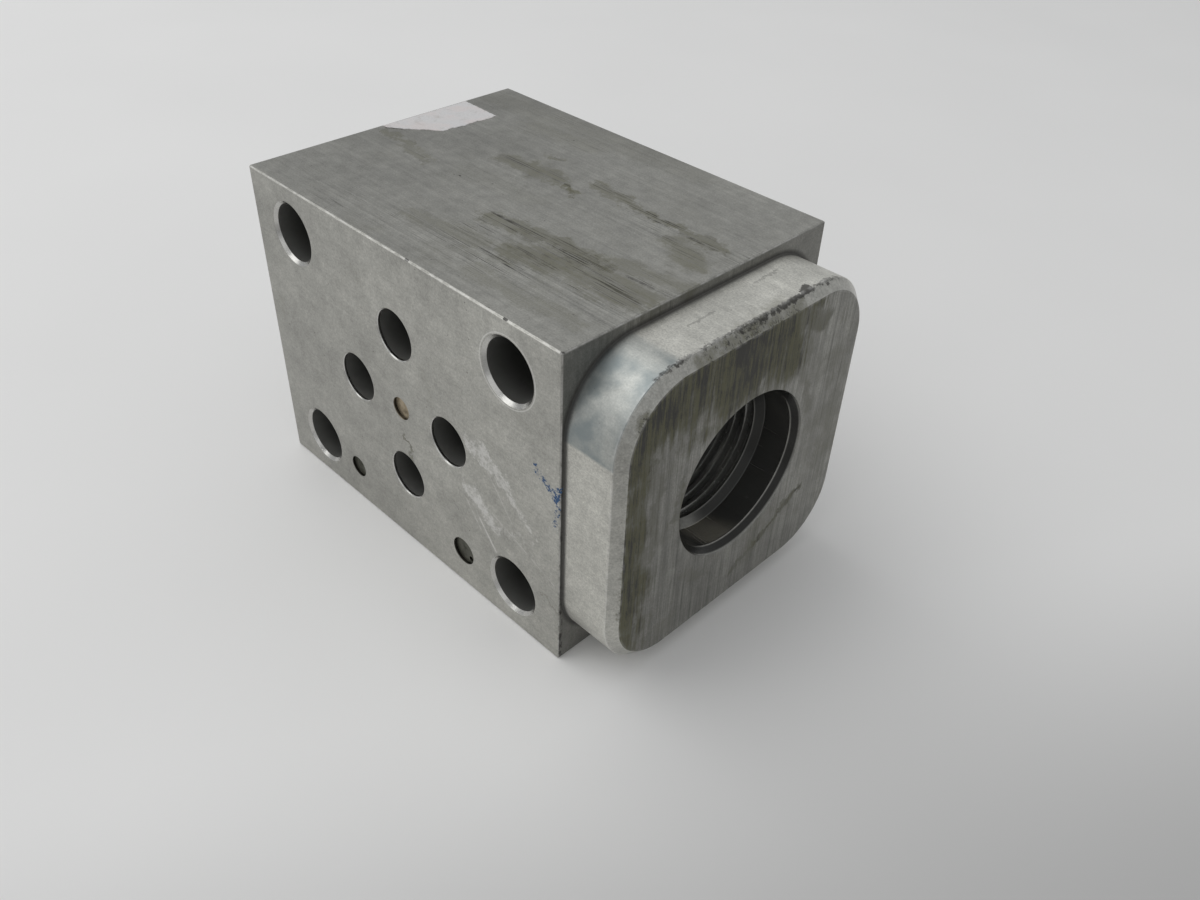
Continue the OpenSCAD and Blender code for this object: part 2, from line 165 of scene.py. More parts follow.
class ValveMetalSettings(bpy.types.PropertyGroup):
    """The turned, plated and ground metal parts."""

    sleeve: colour("Sleeve", "Hardened steel of the sleeve", (0.3, 0.3, 0.31))
    spool: colour("Spool", "Ground steel of the spool", (0.55, 0.55, 0.56))
    washer: colour("Washer", "Plain steel of the washer and the shim", (0.45, 0.45, 0.46))
    ring: colour("Spring steel", "Oiled spring steel", (0.13, 0.13, 0.135))
    seat: colour("Seat", "Turned brass of the spring seat", (0.62, 0.45, 0.2))
    plug: colour("End plug", "Zinc plating of the end plug", (0.52, 0.52, 0.49))
    gallery: colour("Gallery plug", "Black oxide of the gallery plug", (0.03, 0.03, 0.032))
    centre: colour("Centre plug", "Tarnished brass of the centre plug", (0.42, 0.35, 0.25))
    pin: colour("Pins", "Dull oily steel of the two pins", (0.11, 0.11, 0.09))
    rubber: colour("Seals", "Rubber of the O-rings", (0.018, 0.018, 0.019))


class ValveSpringSettings(bpy.types.PropertyGroup):
    """The return spring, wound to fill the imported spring's space."""

    wire: length("Wire", "Thickness of the spring's wire", 0.0009)
    coils: bpy.props.IntProperty(
        name="Working coils", description="Coils that open and close", min=3, max=8, default=6
    )


class ValveLabelSettings(bpy.types.PropertyGroup):
    """What is left of the paper label."""

    paper: colour("Paper", "Paper of the torn label", (0.66, 0.62, 0.61))
    curl: length("Lift", "How far the torn edge lifts off the metal", 0.00004)
    ragged: length("Ragged edge", "How far the tear wanders", 0.00045)


class ValveStageSettings(bpy.types.PropertyGroup):
    """The bench, the lamps and the camera."""

    bench: colour("Bench", "Colour of the bench", (0.8, 0.795, 0.785))
    key_power: bpy.props.FloatProperty(
        name="Key lamp", description="Power of the large soft lamp", unit="POWER", min=0, default=3.9
    )
    fill_power: bpy.props.FloatProperty(
        name="Fill lamp", description="Power of the fill lamp", unit="POWER", min=0, default=0.25
    )
    sky: share("Room light", "Brightness of the light from all round", 0.5)
    eye: bpy.props.FloatVectorProperty(
        name="Eye", description="Where the camera stands", subtype="TRANSLATION", unit="LENGTH",
        size=3, default=(0.08905, -0.07892, 0.09915),
    )
    aim: bpy.props.FloatVectorProperty(
        name="Aim", description="Which way the camera looks", subtype="DIRECTION",
        size=3, default=(-0.54007, 0.5655, -0.62333),
    )
    lean: bpy.props.FloatProperty(
        name="Lean", description="How far the camera is rolled about its own line of sight",
        subtype="ANGLE", unit="ROTATION", default=math.radians(2.51),
    )
    lens: bpy.props.FloatProperty(
        name="Lens", description="Focal length in millimetres on a 36 mm wide sensor", min=10, default=31.53
    )


# ---- Shader bench ----


class Bench:
    """Lays shader nodes in one tree. Each step returns the socket that carries its result."""

    def __init__(self, tree):
        self.tree = tree

    def feed(self, socket, value):
        """Wires a socket to a result, or sets it to a plain value. A colour is given as three numbers."""
        if isinstance(value, bpy.types.NodeSocket):
            self.tree.links.new(value, socket)
        elif socket.type == "RGBA":
            socket.default_value = (*value, 1.0)
        else:
            socket.default_value = value

    def node(self, kind, inputs, **settings):
        """One node with its settings made and its inputs fed, by name or by number."""
        made = self.tree.nodes.new(kind)
        for name, value in settings.items():
            setattr(made, name, value)
        for place, value in inputs.items():
            self.feed(made.inputs[place], value)
        return made

    def math(self, operation, *values):
        """One step of arithmetic on numbers."""
        return self.node("ShaderNodeMath", dict(enumerate(values)), operation=operation).outputs[0]

    def vector(self, operation, *values):
        """One step of arithmetic on vectors. A length or a dot product gives a number, the rest a vector."""
        made = self.node("ShaderNodeVectorMath", dict(enumerate(values)), operation=operation)
        return made.outputs["Value" if operation in ("LENGTH", "DOT_PRODUCT") else "Vector"]

    def scaled(self, vector, factor):
        """A vector times a number."""
        inputs = {0: vector, "Scale": factor}
        return self.node("ShaderNodeVectorMath", inputs, operation="SCALE").outputs[0]

    def parts(self, vector):
        """The X, Y and Z of a vector."""
        return self.node("ShaderNodeSeparateXYZ", {0: vector}).outputs

    def joined(self, x, y, z):
        """A vector from its X, Y and Z."""
        return self.node("ShaderNodeCombineXYZ", {0: x, 1: y, 2: z}).outputs[0]

    def chain(self, operation, values):
        """The same step of arithmetic from the first number through all the others."""
        result = values[0]
        for value in values[1:]:
            result = self.math(operation, result, value)
        return result

    def total(self, *values):
        """The sum of several numbers."""
        return self.chain("ADD", values)

    def product(self, *values):
        """The product of several numbers."""
        return self.chain("MULTIPLY", values)

    def most(self, *values):
        """The largest of several numbers."""
        return self.chain("MAXIMUM", values)

    def least(self, *values):
        """The smallest of several numbers."""
        return self.chain("MINIMUM", values)

    def weighted_sum(self, start, *pairs):
        """A number plus several others, each times its weight."""
        return self.total(start, *[self.product(*pair) for pair in pairs])

    def strongest(self, *pairs):
        """The largest of several numbers, each times its weight."""
        return self.most(*[self.product(*pair) for pair in pairs])

    def less(self, first, second):
        """The first number less the second."""
        return self.math("SUBTRACT", first, second)

    def rest(self, share):
        """What a share leaves of 1."""
        return self.less(1.0, share)

    def gap(self, first, second):
        """How far apart two numbers are."""
        return self.math("ABSOLUTE", self.less(first, second))

    def wavering(self, noise, *amounts):
        """A factor about 1 that follows a noise about 0.5, as strongly as the amounts times each other."""
        return self.total(1.0, self.product(self.less(noise, 0.5), *amounts))

    def ramp(self, value, start, end):
        """A smooth step from 0 at start to 1 at end."""
        inputs = {"Value": value, "From Min": start, "From Max": end}
        return self.node("ShaderNodeMapRange", inputs, interpolation_type="SMOOTHSTEP").outputs["Result"]

    def band(self, value, rise, fall):
        """1 between a smooth rise and a smooth fall, each given as its start and end."""
        return self.product(self.ramp(value, *rise), self.ramp(value, *fall))

    def between(self, amount, low, high):
        """A number that goes from low to high as amount goes from 0 to 1."""
        return self.node("ShaderNodeMix", {0: amount, 2: low, 3: high}, data_type="FLOAT").outputs[0]

    def tint(self, amount, under, over, blend="MIX"):
        """A colour laid over another by amount."""
        inputs = {0: amount, 6: under, 7: over}
        return self.node("ShaderNodeMix", inputs, data_type="RGBA", blend_type=blend).outputs[2]

    def shaded(self, base, light):
        """A colour made lighter or darker by a number."""
        return self.tint(1.0, base, self.joined(light, light, light), "MULTIPLY")

    def coated(self, base, *coats):
        """A colour with others laid over it in turn, each given as its amount and its colour."""
        for amount, over in coats:
            base = self.tint(amount, base, over)
        return base

    def noise(self, vector, grain, detail=3.0, roughness=0.5):
        """Cloudy noise about 0.5, with lumps of the given size in millimetres."""
        inputs = {"Vector": vector, "Scale": 1 / grain, "Detail": detail, "Roughness": roughness}
        return self.node("ShaderNodeTexNoise", inputs).outputs["Fac"]

    def warped(self, vector, grain, reach):
        """A place moved about by noise, so that what is drawn there gets a ragged edge."""
        inputs = {"Vector": vector, "Scale": 1 / grain, "Detail": 5.0, "Roughness": 0.7}
        swirl = self.node("ShaderNodeTexNoise", inputs).outputs["Color"]
        centred = self.vector("SUBTRACT", swirl, (0.5, 0.5, 0.5))
        return self.vector("ADD", vector, self.vector("MULTIPLY", centred, reach))

    def place(self):
        """The place on the part, in millimetres in the part's own frame."""
        return self.scaled(self.node("ShaderNodeTexCoord", {}).outputs["Object"], 1 / MM)

    def group(self, name, **inputs):
        """A shared effect placed in this tree, with its own values. Returns its outputs."""
        made = self.tree.nodes.new("ShaderNodeGroup")
        made.node_tree = bpy.data.node_groups[name]
        for socket, value in inputs.items():
            self.feed(made.inputs[socket.replace("_", " ").capitalize()], value)
        return made.outputs


def start_group(name, inputs, outputs):
    """An empty node group. inputs gives each default, a number or a vector; outputs names its numbers."""
    tree = bpy.data.node_groups.new(name, "ShaderNodeTree")
    for socket_name, default in inputs.items():
        kind = "NodeSocketVector" if isinstance(default, tuple) else "NodeSocketFloat"
        socket = tree.interface.new_socket(socket_name, in_out="INPUT", socket_type=kind)
        socket.default_value = default
    for socket_name in outputs:
        tree.interface.new_socket(socket_name, in_out="OUTPUT", socket_type="NodeSocketFloat")
    entry = tree.nodes.new("NodeGroupInput").outputs
    leave = tree.nodes.new("NodeGroupOutput").inputs
    return Bench(tree), entry, leave


def make_mark_group():
    """Mark: 1 on the straight line from Start to End, fading to 0 at Width from it."""
    inputs = {"Place": (0, 0, 0), "Start": (0, 0, 0), "End": (1, 0, 0), "Width": 1.0}
    bench, entry, leave = start_group("Mark", inputs, ["Mask"])
    along = bench.vector("SUBTRACT", entry["End"], entry["Start"])
    reach = bench.vector("SUBTRACT", entry["Place"], entry["Start"])
    covered = bench.vector("DOT_PRODUCT", reach, along)
    whole = bench.vector("DOT_PRODUCT", along, along)
    share_along = bench.least(bench.most(bench.math("DIVIDE", covered, whole), 0.0), 1.0)
    off = bench.vector("SUBTRACT", reach, bench.scaled(along, share_along))
    nearness = bench.math("DIVIDE", bench.vector("LENGTH", off), entry["Width"])
    bench.feed(leave["Mask"], bench.ramp(nearness, 1.0, 0.2))


def along_and_off(bench, entry):
    """A place's distance along the line through Centre in the direction of Axis, and its distance off it."""
    reach = bench.vector("SUBTRACT", entry["Place"], entry["Centre"])
    along = bench.vector("DOT_PRODUCT", reach, entry["Axis"])
    off = bench.vector("SUBTRACT", reach, bench.scaled(entry["Axis"], along))
    return along, bench.vector("LENGTH", off)


def make_ring_group():
    """Ring mark: 1 at the distance Radius from a line, fading to 0 at Width from there."""
    inputs = {"Place": (0, 0, 0), "Centre": (0, 0, 0), "Axis": (0, 1, 0), "Radius": 1.0, "Width": 0.2}
    bench, entry, leave = start_group("Ring mark", inputs, ["Mask", "Distance"])
    _, distance = along_and_off(bench, entry)
    bench.feed(leave["Mask"], bench.ramp(bench.gap(distance, entry["Radius"]), entry["Width"], 0.0))
    bench.feed(leave["Distance"], distance)


def make_box_edge_group():
    """Box edges: 1 on the edges of a box, fading to 0 at Width from them. Depth is how far inside a place is.

    The second smallest of the three gaps to the box's sides is the distance to the nearest edge.
    """
    inputs = {"Place": (0, 0, 0), "Low": (-1, -1, -1), "High": (1, 1, 1), "Width": 0.5}
    bench, entry, leave = start_group("Box edges", inputs, ["Mask", "Depth"])
    low_gap = bench.vector("SUBTRACT", entry["Place"], entry["Low"])
    high_gap = bench.vector("SUBTRACT", entry["High"], entry["Place"])
    a, b, c = bench.parts(bench.vector("MINIMUM", low_gap, high_gap))
    middle = bench.most(bench.least(a, b), bench.least(bench.most(a, b), c))
    bench.feed(leave["Mask"], bench.ramp(middle, entry["Width"], 0.0))
    bench.feed(leave["Depth"], bench.least(a, b, c))


def make_outline_group():
    """Boss outline: distance in the YZ plane to a rounded rectangle, negative inside it."""
    inputs = {"Place": (0, 0, 0), "Height": 22.0, "Half width": 20.0, "Half height": 20.0, "Corner": 9.0}
    bench, entry, leave = start_group("Boss outline", inputs, ["Distance"])
    _, y, z = bench.parts(entry["Place"])
    corner = entry["Corner"]
    side = bench.total(bench.less(bench.math("ABSOLUTE", y), entry["Half width"]), corner)
    rise = bench.total(bench.less(bench.gap(z, entry["Height"]), entry["Half height"]), corner)
    outside = bench.vector("LENGTH", bench.joined(bench.most(side, 0.0), bench.most(rise, 0.0), 0.0))
    inside = bench.least(bench.most(side, rise), 0.0)
    bench.feed(leave["Distance"], bench.less(bench.total(outside, inside), corner))


def make_lines_group():
    """Tool lines: fine parallel streaks. Run is how fast they change along each axis, per millimetre."""
    inputs = {"Place": (0, 0, 0), "Run": (0.05, 4, 4)}
    bench, entry, leave = start_group("Tool lines", inputs, ["Fine", "Scored"])
    stretched = bench.vector("MULTIPLY", entry["Place"], entry["Run"])
    fine = bench.noise(stretched, 1.0, detail=4.0, roughness=0.6)
    broad = bench.noise(stretched, 2.7, detail=2.0)
    bench.feed(leave["Fine"], bench.between(0.4, fine, broad))
    bench.feed(leave["Scored"], bench.ramp(fine, 0.54, 0.62))


def make_turning_group():
    """Turned lines: rings left by a lathe about a line, which follow the distance along it and off it."""
    inputs = {"Place": (0, 0, 0), "Centre": (0, 0, 0), "Axis": (1, 0, 0), "Pitch": 0.15}
    bench, entry, leave = start_group("Turned lines", inputs, ["Lines"])
    steps = [bench.math("DIVIDE", distance, entry["Pitch"]) for distance in along_and_off(bench, entry)]
    bench.feed(leave["Lines"], bench.noise(bench.joined(*steps, 0.0), 1.0, detail=3.0, roughness=0.6))


def make_grime_group():
    """Grime: patches of dirt. Amount is the share covered, Grain the size of a patch in millimetres."""
    inputs = {"Place": (0, 0, 0), "Grain": 4.0, "Amount": 0.3, "Softness": 0.12}
    bench, entry, leave = start_group("Grime", inputs, ["Mask"])
    spot = bench.vector("DIVIDE", entry["Place"], bench.joined(*[entry["Grain"]] * 3))
    cloud = bench.noise(spot, 1.0, detail=6.0, roughness=0.62)
    edge = bench.between(entry["Amount"], 0.72, 0.3)
    start = bench.less(edge, entry["Softness"])
    bench.feed(leave["Mask"], bench.ramp(cloud, start, bench.total(edge, entry["Softness"])))


def make_pit_group():
    """Pits: small scattered dots, one in each cell that chance picks. Share is how many cells have one."""
    inputs = {"Place": (0, 0, 0), "Spacing": 1.2, "Dot": 0.12, "Share": 0.4}
    bench, entry, leave = start_group("Pits", inputs, ["Mask"])
    spot = bench.vector("DIVIDE", entry["Place"], bench.joined(*[entry["Spacing"]] * 3))
    cells = bench.node("ShaderNodeTexVoronoi", {"Vector": spot, "Scale": 1.0, "Randomness": 1.0}).outputs
    nearness = bench.product(cells["Distance"], entry["Spacing"])
    chance, dot_size, _ = bench.parts(cells["Color"])
    dot = bench.product(entry["Dot"], bench.between(dot_size, 0.4, 1.2))
    picked = bench.math("LESS_THAN", chance, entry["Share"])
    bench.feed(leave["Mask"], bench.product(bench.ramp(nearness, dot, bench.product(dot, 0.4)), picked))


GROUP_MAKERS = (
    make_mark_group,
    make_ring_group,
    make_box_edge_group,
    make_outline_group,
    make_lines_group,
    make_turning_group,
    make_grime_group,
    make_pit_group,
)


def start_material(name):
    """A new node material. Returns it, its bench and its shader's inputs."""
    material = bpy.data.materials.new(name)
    material.use_nodes = True
    shader = material.node_tree.nodes["Principled BSDF"]
    return material, Bench(material.node_tree), shader.inputs


def bump(bench, shader, height, depth):
    """Raises the surface by height, of which 1 is depth in millimetres."""
    inputs = {"Height": height, "Distance": depth * MM, "Strength": 1.0}
    bench.feed(shader["Normal"], bench.node("ShaderNodeBump", inputs).outputs["Normal"])


def dress(node, material):
    """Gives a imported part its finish, in the slot that it already has."""
    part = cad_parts[node]
    if not part.material_slots:
        part.data.materials.append(material)
    for slot in part.material_slots:
        slot.link = "OBJECT"
        slot.material = material


# ---- The aluminium body ----

# Each row below is a mark: its start, its end, its width and its strength. This is oil on the top, as (x, y)
TOP_STAINS = (
    ((-9.0, 4.4), (-1.0, 5.4), 2.8, 0.75),
    ((1.4, 4.6), (3.9, 3.9), 1.0, 0.95),
    ((-6.0, 9.0), (-4.6, 9.6), 1.3, 0.6),
    ((2.0, -8.0), (12.5, -6.2), 2.4, 0.85),
    ((12.0, -6.4), (19.0, -6.4), 2.6, 0.9),
    ((11.0, -11.0), (17.0, -8.6), 4.4, 0.9),
    ((17.0, -9.0), (26.0, -8.4), 4.4, 0.8),
    ((-4.0, -14.0), (6.0, -12.6), 3.2, 0.45),
    ((19.5, -5.0), (27.5, -3.0), 2.8, 0.55),
    ((3.5, 7.6), (9.0, 7.2), 1.6, 0.75),
    ((9.0, 6.9), (22.0, 6.3), 1.3, 0.85),
    ((20.5, 4.0), (25.0, 1.5), 3.0, 0.75),
    ((22.0, 6.8), (24.5, 6.0), 2.0, 0.8),
    ((-15.0, 14.0), (-4.0, 15.5), 3.4, 0.35),
    ((-26.0, 17.5), (10.0, 19.5), 5.0, 0.3),
    ((-22.6, -2.4), (-16.0, -3.4), 1.6, 0.55),
    ((-27.0, -2.4), (-21.0, -1.8), 0.8, 0.6),
    ((-10.0, -1.5), (2.0, -1.0), 3.6, 0.25),
    ((10.0, -17.6), (26.0, -16.4), 2.6, 0.4),
)
# Where the tool lines on the top face stand out, as (x, y)
TOP_LINED = (
    ((6.0, -12.0), (28.0, -9.0), 9.0, 1.0),
    ((12.0, 4.0), (28.0, 6.0), 4.5, 0.6),
    ((-14.0, -17.0), (6.0, -17.0), 5.0, 0.6),
)
# Stains and streaks on the mounting face, as (x, z)
FACE_STAINS = (
    ((0.4, 18.4), (1.2, 14.8), 0.5, 0.75),
    ((5.4, 29.8), (6.6, 26.0), 1.5, 0.22),
    ((-7.6, 38.0), (-5.8, 36.4), 1.5, 0.22),
    ((-26.4, 26.0), (-25.6, 23.0), 1.4, 0.25),
    ((20.4, 33.4), (22.8, 32.6), 1.0, 0.22),
    ((25.8, 9.4), (28.4, 7.0), 0.5, 0.4),
)
# Dirt on the boss's front face, as (y, z)
BOSS_FRONT_STAINS = (
    ((-9.5, 40.2), (6.0, 41.0), 3.0, 0.95),
    ((6.0, 40.6), (11.5, 38.0), 2.6, 0.8),
    ((-16.8, 38.2), (-16.6, 31.0), 1.9, 0.95),
    ((-17.6, 33.0), (-18.6, 13.0), 1.5, 0.85),
    ((-14.6, 30.0), (-16.6, 14.0), 1.2, 0.45),
    ((-18.6, 14.0), (-17.6, 7.5), 1.3, 0.95),
    ((-12.5, 38.0), (-2.0, 37.0), 3.4, 0.5),
    ((2.6, 36.2), (9.0, 35.0), 2.6, 0.5),
    ((9.0, 33.0), (11.6, 26.0), 1.8, 0.4),
    ((4.4, 8.0), (12.8, 12.6), 0.9, 0.9),
    ((0.6, 5.4), (4.4, 8.0), 0.8, 0.6),
    ((-11.4, 22.0), (-10.8, 27.0), 1.2, 0.5),
    ((-8.4, 12.0), (-5.4, 9.6), 1.6, 0.35),
)
# Crusted dirt and knocks along the boss's top front edge, as (x, y) at the height of its top
BOSS_CRUST = (
    ((36.1, -9.0), (36.2, -3.6), 0.8, 0.8),
    ((36.0, -3.6), (35.9, 1.4), 0.9, 0.95),
    ((35.8, 1.4), (35.5, 9.4), 0.75, 0.95),
    ((35.2, 8.0), (34.8, 9.2), 0.7, 1.0),
    ((35.8, 11.2), (35.8, 13.2), 0.7, 0.9),
    ((35.4, -12.4), (35.9, -11.2), 0.55, 0.95),
    ((31.6, -6.6), (31.6, -2.6), 0.45, 0.5),
    ((30.6, 5.4), (30.4, 9.6), 0.4, 0.5),
)
# Nicks in the top's edges and one dent in the top, as (x, y)
EDGE_NICKS = (
    ((3.7, -21.2), (4.1, -21.2), 0.3, 1.0),
    ((19.9, -21.2), (20.3, -21.2), 0.3, 1.0),
    ((-9.2, -3.4), (-9.0, -3.4), 0.2, 0.9),
    ((28.2, -21.2), (28.5, -20.9), 0.35, 0.7),
)
# Pale scuffs across the mounting face, as (x, z)
FACE_SCUFFS = (
    ((13.2, 24.6), (18.6, 22.0), 2.2, 0.85),
    ((15.0, 25.0), (20.6, 20.4), 1.9, 0.85),
    ((18.6, 22.0), (23.8, 17.4), 1.3, 0.8),
    ((10.9, 18.8), (14.2, 15.0), 1.0, 0.7),
    ((13.0, 17.2), (17.4, 13.8), 2.2, 0.85),
    ((17.4, 14.4), (23.4, 15.4), 1.2, 0.7),
    ((20.0, 28.0), (22.6, 24.0), 0.9, 0.6),
)
# Straight scratches between the ports, as (x, z)
FACE_SCRATCHES = (
    ((12.2, 16.6), (17.4, 10.0), 0.28, 0.9),
    ((11.4, 16.2), (14.6, 12.0), 0.2, 0.7),
    ((17.0, 16.0), (27.6, 12.0), 0.16, 0.6),
    ((14.6, 24.4), (21.0, 16.0), 0.16, 0.5),
)
# Layout ink by the corner, as (x, z)
FACE_INK = (
    ((28.3, 26.8), (27.8, 25.0), 0.9, 1.0),
    ((24.6, 27.6), (28.0, 25.4), 1.6, 0.85),
    ((28.2, 24.4), (27.6, 20.6), 1.0, 0.85),
)
# Where light falls on the wall of the boss's socket
SOCKET_GLOW = {"start": (32.2, -2.0, 12.0), "end": (35.3, -1.0, 12.0), "width": 4.0}


def on_top(x, y):
    """A place on the block's top face."""
    return (x, y, TOP_Z)


def on_face(x, z):
    """A place on the mounting face."""
    return (x, FACE_Y, z)


def on_front(y, z):
    """A place on the boss's front face."""
    return (BOSS_X, y, z)


def on_boss_top(x, y):
    """A place on the top of the boss."""
    return (x, y, AXIS_Z + BOSS_HALF_HEIGHT)


def marks(bench, spot, rows, lift):
    """The strongest of several marks. Lift turns a row's two flat places into places on its face."""
    masks = []
    for start, end, width, strength in rows:
        mask = bench.group("Mark", place=spot, start=lift(*start), end=lift(*end), width=width)["Mask"]
        masks.append((mask, strength))
    return bench.strongest(*masks)


def axis_distance(bench, spot):
    """How far a place is from the spool's axis."""
    return bench.group("Ring mark", place=spot, centre=SPOOL_CENTRE, axis=ALONG_X)["Distance"]


def body_places(bench):
    """Where a place on the body is: its X, Y and Z, distances to edges and a mask for each surface."""
    spot = bench.place()
    x, y, z = bench.parts(spot)
    edges = bench.group("Box edges", place=spot, low=BLOCK_LOW, high=BLOCK_HIGH, width=0.3)
    outline = bench.group(
        "Boss outline", place=spot, height=AXIS_Z, half_width=BOSS_HALF_WIDTH,
        half_height=BOSS_HALF_HEIGHT, corner=BOSS_CORNER,
    )["Distance"]
    bore = axis_distance(bench, spot)
    boss = bench.ramp(x, END_X + 0.02, END_X + 0.06)
    block = bench.rest(boss)
    front = bench.ramp(x, BOSS_X - 0.06, BOSS_X - 0.02)
    behind = bench.rest(front)
    in_bore = bench.product(
        bench.ramp(bore, MOUTH_RADIUS + 0.45, MOUTH_RADIUS + 0.25),
        bench.ramp(x, BOSS_X - 0.02, BOSS_X - 0.06),
    )
    drilled = bench.product(bench.ramp(edges["Depth"], 0.35, 0.5), block)
    return SimpleNamespace(
        spot=spot, x=x, y=y, z=z, edges=edges["Mask"], depth=edges["Depth"], outline=outline, bore=bore,
        boss=boss, block=block, front=front, in_bore=in_bore, hole=bench.most(in_bore, drilled),
        top=bench.product(bench.ramp(z, TOP_Z - 0.1, TOP_Z - 0.02), block),
        face=bench.ramp(y, FACE_Y + 0.1, FACE_Y + 0.02),
        end=bench.product(bench.ramp(x, END_X - 0.1, END_X - 0.02), block, bench.ramp(outline, -0.4, -0.1)),
        side=bench.product(boss, bench.ramp(outline, -0.12, -0.04), behind),
        chamfer=bench.product(
            bench.ramp(x, CHAMFER_X - 0.02, CHAMFER_X + 0.06),
            bench.ramp(bore, MOUTH_RADIUS + 0.35, MOUTH_RADIUS + 0.65), behind,
        ),
    )


def warped_in_face(bench, body, grain, reach):
    """A place moved about by noise, as far as reach along X, Y and Z, without leaving the face it is on."""
    along, across, up = reach
    kept_reach = bench.joined(
        bench.between(body.front, along, 0.0),
        bench.between(body.face, across, 0.0),
        bench.between(bench.most(body.top, body.side), up, 0.0),
    )
    return bench.warped(body.spot, grain, kept_reach)


def add_patterns(bench, body):
    """Adds to the body's places what several of its layers share: ragged places, noises and tool lines."""
    body.ragged = warped_in_face(bench, body, 3.0, (7.0, 6.0, 5.0))
    body.torn = warped_in_face(bench, body, 0.8, (1.6, 1.6, 1.6))
    body.speckle = bench.noise(body.spot, 0.22, detail=3.0, roughness=0.7)
    body.mottle = bench.noise(body.spot, 1.7, detail=5.0, roughness=0.65)
    body.cloud = bench.noise(body.spot, 9.0, detail=4.0, roughness=0.55)
    upright = bench.most(body.front, body.end)
    level_lines = bench.group("Tool lines", place=body.spot, run=LEVEL_RUN)
    upright_lines = bench.group("Tool lines", place=body.spot, run=UPRIGHT_RUN)
    body.fine = bench.between(upright, level_lines["Fine"], upright_lines["Fine"])
    body.scored = bench.between(upright, level_lines["Scored"], upright_lines["Scored"])
    body.lined_patch = marks(bench, body.ragged, TOP_LINED, on_top)
    body.line_depth = bench.between(body.lined_patch, 0.16, 0.42)
    for mask, depth in ((body.face, 0.1), (body.front, 0.45), (body.side, 0.1), (body.hole, 0.02)):
        body.line_depth = bench.between(mask, body.line_depth, depth)


def metal_tone_and_painted_light(bench, body, aluminium):
    """The metal's colour, lighter or darker on each kind of surface as painted light and shade: the boss's
    sides lighter towards the top, its chamfer lighter, its front and the block's end darker, the top and the
    mounting face lighter towards +X; and cool at one corner of the boss.
    """
    along = bench.ramp(body.x, BLOCK_LOW[0], BLOCK_HIGH[0])
    near_top = bench.ramp(body.z, TOP_Z - 10, TOP_Z - 2)
    # Painted light and shade: each surface's brightness is set by how light falls on it; the tool lines,
    # speckle, cloud and mottle below are the metal's own
    tone = bench.weighted_sum(
        1.0,
        (body.top, bench.between(along, -0.08, 0.14)),
        (body.face, bench.between(along, 0.06, 0.24)),
        (body.side, bench.between(near_top, 0.6, 0.95)),
        (body.chamfer, 0.3),
        (body.front, -0.22),
        (body.end, -0.15),
    )
    tone = bench.product(
        tone,
        bench.wavering(body.fine, body.line_depth, 5.0),
        bench.wavering(body.speckle, 0.9),
        bench.wavering(body.cloud, 0.5),
        bench.wavering(body.mottle, 0.6),
    )
    corner_y = BOSS_CORNER - BOSS_HALF_WIDTH
    corner_z = AXIS_Z + BOSS_HALF_HEIGHT - BOSS_CORNER
    cool = bench.product(
        body.side, bench.ramp(body.y, corner_y + 0.35, corner_y - 0.85),
        bench.ramp(body.z, corner_z - 0.3, corner_z + 0.2),
        bench.between(bench.ramp(bench.noise(body.spot, 4.0), 0.35, 0.65), 0.45, 0.95),
    )
    return bench.tint(cool, bench.shaded(aluminium, tone), COOL_METAL)


def boss_grime(bench, body):
    """Dirt on the boss's front, drawn out in upright streaks: its mask, and the mask of where it is caked.

    It is thick under the front's top edge and down its left side.
    """
    drawn = bench.vector("MULTIPLY", body.spot, (0.0, 1.6, 0.17))
    streaks = bench.noise(drawn, 1.0, detail=6.0, roughness=0.7)
    blots = bench.noise(body.spot, 5.0, detail=5.0, roughness=0.6)
    under_top = bench.product(
        bench.ramp(body.z, AXIS_Z + 4, AXIS_Z + 18), bench.ramp(body.y, BOSS_HALF_WIDTH - 4, 3.0)
    )
    down_left = bench.product(0.74, bench.ramp(body.y, -11.0, -BOSS_HALF_WIDTH + 1.5))
    uneven = bench.weighted_sum(
        bench.most(under_top, down_left), (bench.less(streaks, 0.5), 1.5), (bench.less(blots, 0.5), 1.8)
    )
    caked = bench.ramp(bench.weighted_sum(uneven, (streaks, 0.8)), 1.25, 1.75)
    return bench.product(body.front, bench.ramp(uneven, 0.22, 0.85)), bench.product(body.front, caked)


def oil_masks(bench, body):
    """Oil that gathers in the tool lines: its mask, and the mask of where it is thick enough to be black."""
    stains = bench.most(
        marks(bench, body.ragged, TOP_STAINS, on_top),
        marks(bench, body.ragged, FACE_STAINS, on_face),
        marks(bench, body.ragged, BOSS_FRONT_STAINS, on_front),
    )
    film = bench.product(
        bench.group("Grime", place=body.spot, grain=7.0, amount=0.42)["Mask"],
        bench.weighted_sum(
            bench.product(body.top, bench.between(body.lined_patch, 0.18, 0.45)), (body.front, 0.4)
        ),
    )
    soaked = bench.most(stains, film)
    hold = bench.weighted_sum(
        0.3, (body.fine, 0.7), (body.mottle, 0.8), (body.scored, 0.35), (body.speckle, 0.5)
    )
    soft_oil = bench.product(bench.ramp(soaked, 0.02, 0.75), bench.total(0.25, body.mottle), 0.75)
    dark_oil = bench.ramp(bench.product(soaked, hold), 0.6, 1.5)
    grime, caked = boss_grime(bench, body)
    thick = bench.ramp(bench.weighted_sum(body.fine, (body.speckle, 0.4), (caked, 0.3)), 0.6, 0.88)
    return bench.most(soft_oil, dark_oil, bench.product(grime, 0.95)), thick


